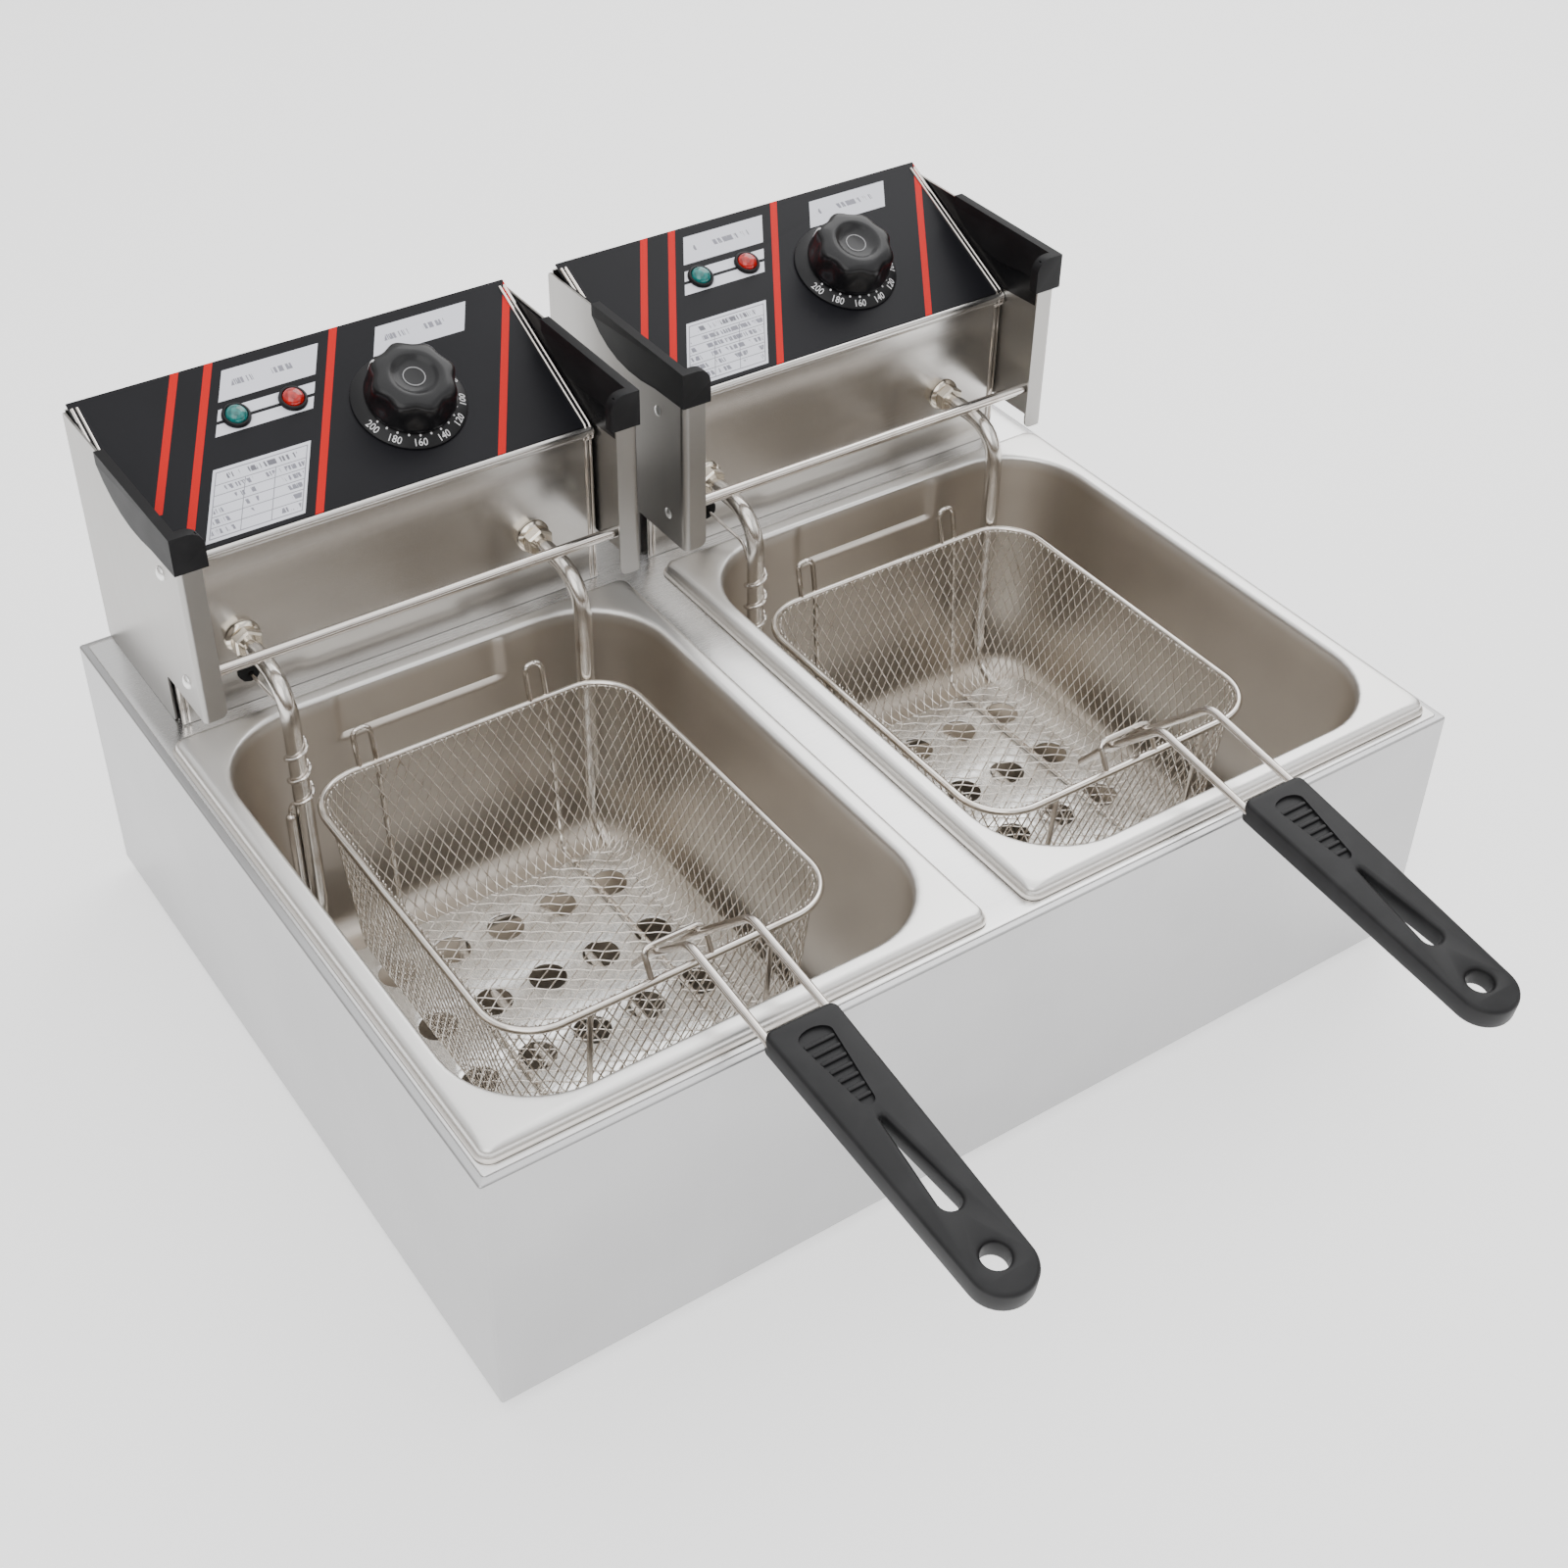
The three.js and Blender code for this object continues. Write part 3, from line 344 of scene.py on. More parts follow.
@dataclass(frozen=True)
class Moulding:
    """Moulded plastic or rubber with a fine cast grain and slightly rubbed sheen."""

    name: str
    color: tuple[float, float, float]
    roughness: float = 0.42
    grain: float = 0.02
    coat: float = 0.0

    def build(self) -> bpy.types.Material:
        """Makes the material."""
        s = Shader(self.name)
        cast = s.noise(2.4, 3.0)
        rub = s.noise(0.05, 2.0, (3, 8, 1))
        light = tuple(min(1.0, c * 1.25 + 0.004) for c in self.color)
        color = s.blend(rub.remap(0.4, 0.75, 0.0, 1.0), self.color, light)
        rough = rub * 0.16 + cast * 0.05 + (self.roughness - 0.1)
        return s.surface(
            Base_Color=color, Roughness=rough, Normal=s.bump(cast, self.grain),
            Coat_Weight=self.coat, Coat_Roughness=0.12, Specular_IOR_Level=0.25,
        )


@dataclass(frozen=True)
class Lens:
    """A lamp's tinted lens with a moulded prism pattern inside, its facets painted lighter and darker as
    painted highlights.
    """

    name: str
    color: tuple[float, float, float]
    middle: tuple[float, float, float]

    def build(self) -> bpy.types.Material:
        """Makes the material."""
        s = Shader(self.name)
        x, y, _ = s.split(s.place(1.3, tuple(self.middle)))
        prisms_and_glints = (x.sine() * y.sine()).remap(-0.9, 0.9, 0.0, 1.0)
        # Painted highlight: the prism pattern is coloured lighter and darker facet by facet, standing for the
        # glints on the facets; its bump is the real moulded relief.
        pale = tuple(min(1.0, c * 1.25) for c in self.color)
        color = s.blend(prisms_and_glints, tuple(c * 0.7 for c in self.color), pale)
        return s.surface(
            Base_Color=color, Roughness=prisms_and_glints * 0.1 + 0.06, Coat_Weight=0.6, Coat_Roughness=0.03,
            Emission_Color=color, Emission_Strength=0.2, Normal=s.bump(prisms_and_glints, 0.02),
        )


@dataclass(frozen=True)
class Ink:
    """Printed marks: one colour, thinner in places."""

    name: str
    color: tuple[float, float, float]

    def build(self) -> bpy.types.Material:
        """Makes the material."""
        s = Shader(self.name)
        wear = s.noise(0.8, 3.0)
        color = s.blend(wear.remap(0.62, 0.8, 0.0, 1.0), self.color, tuple(c * 0.7 for c in self.color))
        return s.surface(Base_Color=color, Roughness=wear * 0.1 + 0.4)


@dataclass(frozen=True)
class PanelPrint:
    """The sloped panel's printed overlay: slanted red stripes, pale labels and a lamp strip.

    The print is laid out in millimetres: `across` from the head's middle and `up` the slope from
    the panel's front edge. Everything leans: a slanted line keeps across - LEAN * up the same.
    """

    name: str
    middle: float
    front: tuple[float, float]
    slope: float
    ground: tuple[float, float, float] = (0.007, 0.007, 0.009)

    LEAN = 0.557
    STRIPES = ((-122.5, 26.0), (-104.2, 0.0), (-34.8, 0.0), (68.3, 0.0))
    STRIPE_WIDTH = 4.6
    NAME_PLATE = (-96.4, -43.0, 78.0, 95.6)
    DIAL_PLATE = (-10.0, 43.3, 78.0, 95.2)
    LAMP_STRIP = (-96.0, -42.8, 59.0, 73.8)
    TABLE = (-95.5, -42.7, 2.6, 41.3)
    TABLE_INSIDE = (-94.0, -44.2, 4.3, 39.6)
    ROW_HEIGHT = 5.6
    COLUMN_WIDTH = 16.4

    def _box(self, lean: Field, up: Field, box: tuple[float, float, float, float]) -> Field:
        """1 inside a slanted box of left, right, low and high, else 0."""
        return lean.within(*box[:2]) * up.within(*box[2:])

    def _script(self, s: Shader, lean: Field, up: Field, box: tuple, height: float) -> Field:
        """Rows of short strokes that stand for lettering but spell nothing."""
        left, right, low, high = box
        inside = self._box(lean, up, box)
        strokes = s.noise((0.9, 0.05, 0.05), 2.0, (left, low, 0))
        words = s.noise((0.09, 0.02, 0.02), 0.0, (right, high, 0))
        row = ((up - low) / height).fraction().within(0.28, 0.78)
        return inside * row * (strokes > 0.5) * (words > 0.42)

    def build(self) -> bpy.types.Material:
        """Makes the material."""
        s = Shader(self.name)
        y0, z0 = self.front
        x, y, z = s.split(s.place(origin=(self.middle, y0 + FRONT, z0)))
        up = y * math.cos(self.slope) + z * math.sin(self.slope)
        lean = x - up * self.LEAN
        stripes = None
        for at, start in self.STRIPES:
            stripe = (abs(lean - at) < self.STRIPE_WIDTH / 2) * (up > start)
            stripes = stripe if stripes is None else stripes.most(stripe)
        strip = self._box(lean, up, self.LAMP_STRIP) * (abs(up - 66.6) > 0.9)
        paper = self._box(lean, up, self.NAME_PLATE).most(self._box(lean, up, self.DIAL_PLATE))
        paper = paper.most(strip).most(self._box(lean, up, self.TABLE))
        rules = (abs(((up - 4.6) / self.ROW_HEIGHT).fraction() - 0.5) > 0.46) * (up < 33.0)
        columns = (abs(((lean + 93.8) / self.COLUMN_WIDTH).fraction() - 0.5) > 0.485) * (up < 32.6)
        edge = (abs(abs(lean + 69.1) - 24.6) < 0.28).most(abs(abs(up - 21.9) - 17.4) < 0.28)
        grid = rules.most(columns).most(edge) * self._box(lean, up, self.TABLE_INSIDE)
        marks = self._script(s, lean, up, (-90.0, -50.0, 83.4, 90.6), 7.2)
        marks = marks.most(self._script(s, lean, up, (-4.0, 37.0, 83.4, 90.6), 7.2))
        cells = self._script(s, lean, up, (-93.0, -45.4, 4.6, 32.6), self.ROW_HEIGHT)
        title = self._script(s, lean, up, (-88.0, -50.0, 32.8, 39.0), 6.2)
        haze = s.noise(0.02)
        fine = s.noise(3.0)
        base = s.blend(haze.remap(0.3, 0.7, 0.0, 1.0), self.ground, tuple(c * 1.25 for c in self.ground))
        for share, ink in (
            (stripes, (0.62, 0.004, 0.003)), (paper, (0.79, 0.8, 0.87)), (grid * 0.75, (0.12, 0.12, 0.15)),
            (marks * 0.85, (0.2, 0.2, 0.24)), (cells * 0.9, (0.2, 0.2, 0.24)),
            (title * 0.85, (0.07, 0.07, 0.09)),
        ):
            base = s.blend(share, base, ink)
        rough = fine * 0.05 + haze * 0.08 + 0.34
        relief = s.bump(fine, 0.002)
        return s.surface(Base_Color=base, Roughness=rough, Normal=relief, Specular_IOR_Level=0.16)


@dataclass(frozen=True)
class Floor:
    """A plain pale sweep."""

    name: str = "pale_floor"

    def build(self) -> bpy.types.Material:
        """Makes the material."""
        s = Shader(self.name)
        soft = s.noise(0.002, 1.0)
        color = s.blend(soft, (0.9, 0.9, 0.9), (0.93, 0.93, 0.93))
        return s.surface(Base_Color=color, Roughness=0.6, Emission_Color=color, Emission_Strength=0.9)


@lru_cache(maxsize=None)
def material(finish: Any) -> bpy.types.Material:
    """Builds a finish once and hands the same material to every piece that wears it."""
    return finish.build()


# Painted shade: the body's upright sides get a darker copy of the same stainless steel than the deck,
# standing for the shade on upright faces.
SHADED_BODY_STEEL = SheetSteel("body_steel_shaded", (0.54, 0.54, 0.545), 0.36, 0.04, Grain.UPRIGHT)
# Painted light: the deck's flat top gets a lighter copy of the same steel, for the bright sky it faces and
# reflects.
LIT_DECK_STEEL = SheetSteel("deck_steel_lit", (0.84, 0.835, 0.83), 0.26, 0.05, Grain.ACROSS)
# Painted shade: the cheeks and the head's case get the darkest copy of the same steel, for the shade on their
# upright faces.
SHADED_CHEEK_STEEL = SheetSteel("cheek_steel_shaded", (0.42, 0.41, 0.395), 0.34, 0.05, Grain.UPRIGHT)
FRONT_STEEL = SheetSteel("front_steel", (0.66, 0.64, 0.615), 0.24, 0.05, Grain.ACROSS)
PAN_STEEL = PressedSteel("pan_steel")
# Painted light: the guard plate, lying flat in the pan, gets the lightest copy of the same steel, for the
# light falling on it.
LIT_GUARD_STEEL = SheetSteel("guard_steel_lit", (0.97, 0.97, 0.96), 0.26, 0.04, Grain.DEEP)
RIVET_STEEL = SheetSteel("rivet_steel", (0.97, 0.97, 0.96), 0.4, 0.04, Grain.SATIN, 0.0)
WIRE = DrawnMetal("nickel_wire", (0.78, 0.74, 0.69), (0.42, 0.35, 0.28), 0.14)
ROD = DrawnMetal("bright_rod", (0.72, 0.68, 0.64), (0.45, 0.38, 0.31), 0.13)
ELEMENT = DrawnMetal("element_sheath", (0.74, 0.71, 0.67), (0.42, 0.36, 0.3), 0.2)
NUT_METAL = DrawnMetal("nut_metal", (0.8, 0.74, 0.64), (0.5, 0.4, 0.3), 0.16)
BLACK_PLASTIC = Moulding("black_trim", (0.006, 0.006, 0.007), 0.56, 0.006)
# Painted reflection: a black sheet colour for the cheeks' inner faces, where they mirror the black panel.
PANEL_REFLECTION_BLACK = Moulding("panel_reflection_black", (0.007, 0.007, 0.008), 0.3, 0.002)
KNOB_PLASTIC = Moulding("knob_black", (0.006, 0.006, 0.007), 0.34, 0.003, 0.25)
BEZEL_PLASTIC = Moulding("bezel_black", (0.008, 0.008, 0.009), 0.36, 0.006)
GRIP_PLASTIC = Moulding("grip_grey", (0.014, 0.014, 0.015), 0.46, 0.01)
RESET_RED = Moulding("reset_red", (0.4, 0.012, 0.01), 0.35)
RUBBER = Moulding("rubber_black", (0.008, 0.008, 0.008), 0.7, 0.02)
WHITE_INK = Ink("white_ink", (0.85, 0.85, 0.87))
PALE_INK = Ink("pale_ink", (0.3, 0.3, 0.31))


# ---------------------------------------------------------------- shapes


class Skin:
    """Points and faces gathered for one piece, in millimetres."""

    def __init__(self) -> None:
        """Starts with nothing."""
        self.points: list[Array] = []
        self.faces: list[list[int]] = []
        self.count = 0

    def add(self, points: Array, faces: Array) -> "Skin":
        """Adds points (n, 3) and faces that count from 0 among them."""
        self.points.append(np.asarray(points, float).reshape(-1, 3))
        self.faces.extend((np.asarray(faces) + self.count).tolist())
        self.count += len(self.points[-1])
        return self

    def grid(self, rows: Array, loop: bool = False, flip: bool = False) -> "Skin":
        """Adds a surface through a grid of points.

        Args:
            rows: Points (m, n, 3); each row is one line of the surface.
            loop: Whether each row closes on itself.
            flip: Whether the faces turn to the other side.

        Returns:
            This skin.
        """
        m, n = rows.shape[:2]
        i, j = np.meshgrid(np.arange(m - 1), np.arange(n if loop else n - 1), indexing="ij")
        k = (j + 1) % n
        quads = np.stack([i * n + j, i * n + k, (i + 1) * n + k, (i + 1) * n + j], -1).reshape(-1, 4)
        return self.add(rows, quads[:, ::-1] if flip else quads)

    def tubes(self, paths: Array, radius: float | Array, sides: int, up: Array) -> "Skin":
        """Adds round tubes with flat ends.

        A tube's point is its path's point plus radius times (cosine of the turn along the
        sideways direction, sine along the third), both square to the path.

        Args:
            paths: Middle points (k, m, 3).
            radius: The tubes' radius, or one (m, 1, 1) for each point along them.
            sides: Faces round a tube.
            up: A direction, or one for each point, that the paths never run along.

        Returns:
            This skin.
        """
        paths = np.asarray(paths, float)
        k, m = paths.shape[:2]
        along = unit(np.gradient(paths, axis=1))
        side = unit(np.cross(along, np.broadcast_to(up, paths.shape)))
        third = np.cross(side, along)
        turn = around(sides)
        round_ = side[:, :, None] * np.cos(turn)[:, None] + third[:, :, None] * np.sin(turn)[:, None]
        points = paths[:, :, None] + radius * round_
        t, i, j = np.meshgrid(np.arange(k), np.arange(m - 1), np.arange(sides), indexing="ij")
        n = (j + 1) % sides
        start = t * m * sides + i * sides
        quads = np.stack([start + j, start + sides + j, start + sides + n, start + n], -1)
        self.add(points, quads.reshape(-1, 4))
        ends = (np.arange(k) * m * sides)[:, None] + np.arange(sides)
        base = self.count - k * m * sides
        self.faces.extend((base + ends).tolist())
        self.faces.extend((base + ends + (m - 1) * sides)[:, ::-1].tolist())
        return self

    def turned(self, profile: Sequence, origin: Array, axis: Array, sides: int = 32) -> "Skin":
        """Adds a shape turned about an axis: each (radius, height) of the profile goes round it."""
        profile = np.asarray(profile, float)
        _, side, third = basis(axis)
        turn = around(sides)
        ring_ = np.cos(turn)[:, None] * side + np.sin(turn)[:, None] * third
        rows = origin + profile[:, 1, None, None] * unit(axis) + profile[:, 0, None, None] * ring_
        return self.grid(rows, loop=True)

    def prism(self, section: Array, x0: float, x1: float) -> "Skin":
        """Adds a closed section of (y, z) points pushed from x0 to x1."""
        n = len(section)
        rows = np.stack([np.column_stack([np.full(n, x), section]) for x in (x0, x1)])
        self.grid(rows, loop=True)
        self.faces.append(list(range(self.count - 2 * n, self.count - n))[::-1])
        self.faces.append(list(range(self.count - n, self.count)))
        return self

    def plate(
        self, loops: list[Array], low: float, high: float, rounding: float, space: "Space",
        pocket: Array | None = None,
    ) -> "Skin":
        """Adds a flat plate with rounded edges.

        Args:
            loops: The outline, anticlockwise, then each hole, clockwise.
            low: Height of the underside.
            high: Height of the top.
            rounding: Radius of its edges.
            space: Where the plate lies.
            pocket: A clockwise loop left open in the top only.

        Returns:
            This skin.
        """
        turn = quarter(4)
        inward = rounding * (1 - np.cos(turn))
        rise = rounding * (1 - np.sin(turn))
        edge = [(i, low + r) for i, r in zip(inward[::-1], rise[::-1])]
        edge += [(i, high - r) for i, r in zip(inward, rise)]
        for loop in loops:
            rows = [level(inset(loop, i), z) for i, z in edge]
            self.grid(space.out(np.stack(rows)), loop=True)
        edges = [inset(loop, rounding) for loop in loops]
        self.fill(edges, low, space, down=True)
        self.fill(edges + ([] if pocket is None else [pocket]), high, space)
        return self

    def fill(self, loops: list[Array], height: float, space: "Space", down: bool = False) -> "Skin":
        """Adds a flat face inside the first loop and outside the others."""
        flat = np.concatenate(loops)
        pairs = [[Vector((*p, 0.0)) for p in loop] for loop in loops]
        faces = np.array(tessellate_polygon(pairs))
        a, b, c = (flat[faces[:, i]] for i in range(3))
        area = np.cross(b - a, c - a)
        wrong = (area > 0) == down
        faces[wrong] = faces[wrong][:, ::-1]
        return self.add(space.out(level(flat, height)), faces)

    def piece(
        self, name: str, body: str, finish: Any, slot: str, nodes: Sequence[str] = (), **trim: Any,
    ) -> bpy.types.Object:
        """Makes the object and hands it to the frame.

        Args:
            name: The piece's name.
            body: The CAD body it rides on.
            finish: What it wears.
            slot: The record's material slot.
            nodes: The CAD nodes it stands for.
            trim: See `dress`.

        Returns:
            The new object.
        """
        mesh = bpy.data.meshes.new(name)
        mesh.from_pydata(to_row(np.concatenate(self.points)).tolist(), [], self.faces)
        return dress(mesh, name, body, finish, slot, nodes, **trim)


def sharpen_rim(mesh: bpy.types.Mesh) -> None:
    """Marks an open sheet's free edges sharp, so the rim it is given doesn't round its faces.

    A free edge is one that a single face uses.
    """
    used = np.empty(len(mesh.loops), np.int32)
    mesh.loops.foreach_get("edge_index", used)
    sharp = np.empty(len(mesh.edges), bool)
    mesh.edges.foreach_get("use_edge_sharp", sharp)
    mesh.edges.foreach_set("use_edge_sharp", sharp | (np.bincount(used, minlength=len(sharp)) == 1))


def dress(
    mesh: bpy.types.Mesh, name: str, body: str, finish: Any, slot: str, nodes: Sequence[str] = (),
    wall: float = 0.0, bevel: float = 0.0, sharp: float = 35.0, recalc: bool = True,
) -> bpy.types.Object:
    """Cleans a mesh, makes its object, finishes it and ties it to the frame.

    Args:
        mesh: The mesh, in the frame's metres.
        name: The piece's name.
        body: The CAD body it rides on.
        finish: What it wears.
        slot: The record's material slot; not used.
        nodes: The CAD nodes it stands for.
        wall: Thickness given to an open sheet, inwards, in millimetres.
        bevel: Radius given to sharp edges, in millimetres.
        sharp: Edges that turn more than this many degrees stay sharp.
        recalc: Whether the faces are turned outwards first.

    Returns:
        The new object.
    """
    work = bmesh.new()
    work.from_mesh(mesh)
    bmesh.ops.remove_doubles(work, verts=work.verts, dist=WELD)
    if recalc:
        bmesh.ops.recalc_face_normals(work, faces=work.faces)
    work.to_mesh(mesh)
    work.free()
    mesh.shade_smooth()
    mesh.set_sharp_from_angle(angle=math.radians(sharp))
    if wall:
        sharpen_rim(mesh)
    mesh.materials.append(material(finish))
    obj = bpy.data.objects.new(name, mesh)
    bpy.context.scene.collection.objects.link(obj)
    if wall:
        solid = obj.modifiers.new("wall", "SOLIDIFY")
        solid.thickness = wall * MM
        solid.offset = -1
        solid.use_even_offset = True
    if bevel:
        edge = obj.modifiers.new("edges", "BEVEL")
        edge.width = bevel * MM
        edge.segments = 3
        edge.limit_method = "ANGLE"
        edge.angle_limit = math.radians(40)
        edge.harden_normals = True
    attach(obj, body)
    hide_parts(*nodes)
    LOG.info("made %s on %s, %d faces", name, body, len(mesh.polygons))
    return obj


def softened(node: str, body: str, finish: Any, slot: str, bevel: float) -> bpy.types.Object:
    """Stands in for a CAD node with the same shape, its edges rounded."""
    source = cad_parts[node].data.copy()
    source.materials.clear()
    return dress(source, f"{node}_soft", body, finish, slot, (node,), bevel=bevel)


@dataclass(frozen=True)
class Space:
    """A flat plate's own place: its origin and the directions of its x, y and height."""

    origin: tuple[float, float, float] = (0.0, 0.0, 0.0)
    x: tuple[float, float, float] = (1.0, 0.0, 0.0)
    y: tuple[float, float, float] = (0.0, 1.0, 0.0)
    z: tuple[float, float, float] = (0.0, 0.0, 1.0)

    @classmethod
    def tilted(cls, x: float, y: float, z: float, angle: float) -> "Space":
        """A place at x, y, z whose y climbs at an angle in radians."""
        c, s = math.cos(angle), math.sin(angle)
        return cls((x, y, z), (1.0, 0.0, 0.0), (0.0, c, s), (0.0, -s, c))

    def out(self, points: Array) -> Array:
        """Carries points from the plate's place to the body's."""
        return np.asarray(points) @ np.array([self.x, self.y, self.z]) + np.array(self.origin)


def basis(axis: Array) -> tuple[Array, Array, Array]:
    """An axis and two directions square to it and to each other."""
    axis = unit(axis)
    other = RIGHT if abs(axis[0]) < 0.9 else UP
    side = unit(np.cross(other, axis))
    return axis, side, np.cross(axis, side)


def outline(
    width: float, depth: float, radius: float, arc: int = 8, run: int = 1, x: float = 0.0, y: float = 0.0,
) -> Array:
    """A rectangle with round corners, anticlockwise.

    Each corner is a quarter circle: its centre plus radius times (cosine, sine) of an angle that
    grows by a quarter turn; the straight sides are split evenly.

    Args:
        width: Size along x.
        depth: Size along y.
        radius: Radius of the corners.
        arc: Steps in a corner.
        run: Steps along a side.
        x: Middle along x.
        y: Middle along y.

    Returns:
        Points (n, 2).
    """
    corner = np.array([[1, 1], [-1, 1], [-1, -1], [1, -1]]) * [width / 2 - radius, depth / 2 - radius]
    angle = (np.arange(4)[:, None] + np.linspace(0, 1, arc + 1)) * math.pi / 2
    arcs = corner[:, None] + radius * np.stack([np.cos(angle), np.sin(angle)], -1)
    ahead = np.roll(arcs[:, 0], -1, axis=0)
    share = (np.arange(1, run) / run)[None, :, None]
    runs = arcs[:, -1:, :] * (1 - share) + ahead[:, None] * share
    return np.concatenate([arcs, runs], axis=1).reshape(-1, 2) + [x, y]


def circle(radius: float, x: float = 0.0, y: float = 0.0, sides: int = 32) -> Array:
    """A circle's points, clockwise, as a hole wants them."""
    turn = -around(sides)
    return np.column_stack([x + radius * np.cos(turn), y + radius * np.sin(turn)])


def inset(loop: Array, distance: float) -> Array:
    """Moves a loop to its left: each point goes along the mitre of the two edges that meet there."""
    before = unit(loop - np.roll(loop, 1, axis=0))
    after = unit(np.roll(loop, -1, axis=0) - loop)
    left = [np.column_stack([-d[:, 1], d[:, 0]]) for d in (before, after)]
    mitre = (left[0] + left[1]) / (1 + (left[0] * left[1]).sum(1, keepdims=True))
    return loop + distance * mitre


def bent(points: Sequence, radius: float, steps: int = 8, pitch: float = 6.0) -> Array:
    """A path of straight runs whose corners are rounded.

    A corner is the curve (1-t)^2 a + 2 t (1-t) corner + t^2 b between the points a and b, which
    lie the same way back and ahead of it.

    Args:
        points: The corners, with the two ends.
        radius: Radius of the bends.
        steps: Steps in a bend.
        pitch: Longest step along a straight run.

    Returns:
        Points (n, 3).
    """
    points = np.asarray(points, float)
    line = [points[0]]
    for before, corner, after in zip(points, points[1:], points[2:]):
        back, ahead = unit(before - corner), unit(after - corner)
        half = math.acos(np.clip(back @ ahead, -1, 1)) / 2
        reach = radius / math.tan(half)
        a, b = corner + back * reach, corner + ahead * reach
        t = np.linspace(0, 1, steps + 1)[:, None]
        line.extend((1 - t) ** 2 * a + 2 * t * (1 - t) * corner + t**2 * b)
    line.append(points[-1])
    line = np.array(line)
    step = np.linalg.norm(np.diff(line, axis=0), axis=1)
    keep = np.concatenate([[True], step > 1e-6])
    line = line[keep]
    length = np.concatenate([[0], np.cumsum(np.linalg.norm(np.diff(line, axis=0), axis=1))])
    extra = np.arange(pitch, length[-1] - 0.5, pitch)
    near = np.abs(extra[:, None] - length).min(1)
    places = np.sort(np.concatenate([length, extra[near > pitch / 3]]))
    return np.column_stack([np.interp(places, length, line[:, i]) for i in range(3)])


class Sided:
    """Pieces of one side of the fryer, named after it."""

    side: str
    rides: str

    def _piece(
        self, skin: Skin, name: str, finish: Any, slot: str, *nodes: str, body: str = "", **trim: Any,
    ) -> None:
        """Names a piece, its body and its CAD nodes after the side and hands it over."""
        named = [f"{self.side}_{node}" for node in nodes]
        skin.piece(f"{self.side}_{name}", f"{self.side}_{body or self.rides}", finish, slot, named, **trim)

    def _soften(self, node: str, finish: Any, slot: str, bevel: float, body: str = "") -> None:
        """Keeps a CAD node's shape with rounded edges."""
        softened(f"{self.side}_{node}", f"{self.side}_{body or self.rides}", finish, slot, bevel)


# ---------------------------------------------------------------- body and pans


@dataclass(frozen=True)
class Body:
    """The low steel tray that holds both pans, with the deck set into its folded top edge."""

    width: float = 569.0
    depth: float = 445.0
    top: float = 159.0
    bottom: float = 8.0
    corner: float = 1.8
    ledge: float = 3.9

    def build(self) -> None:
        """Makes the tray, its floor and the deck."""
        step, bend, curl = self.top - 0.7, 1.3, 2.0
        turn = quarter(5)
        fold = [(bend * (1 - math.cos(a)), step - bend + bend * math.sin(a)) for a in turn]
        foot = [(curl * (1 - math.sin(a)), self.bottom + curl - curl * math.cos(a)) for a in turn]
        edge = [*foot, *fold, (self.ledge + 3, step), (self.ledge + 3, step - 7)]
        rows = []
        for i, z in edge:
            w, d = self.width - 2 * i, self.depth - 2 * i
            rows.append(level(outline(w, d, max(self.corner - i, 0.3), 5, y=self.depth / 2), z))
        walls = Skin().grid(np.stack(rows), loop=True)
        walls.faces.append(list(range(len(rows[0])))[::-1])
        walls.piece("tray", "body", SHADED_BODY_STEEL, "steel", ["body_shell"], wall=1.2, recalc=False)
        gap = 2 * self.ledge
        plate = outline(self.width - gap, self.depth - gap, 2.0, 5, y=self.depth / 2)
        holes = [Pan(name).mouth(4.0)[::-1] for name in SIDES]
        deck = Skin().plate([plate, *holes], self.top - 1.2, self.top, 0.5, Space())
        deck.piece("deck", "body", LIT_DECK_STEEL, "steel", ["top_deck"])
        for node in ("foot_front_left", "foot_front_right", "foot_back_left", "foot_back_right"):
            softened(node, "body", RUBBER, "rubber", 0.6)


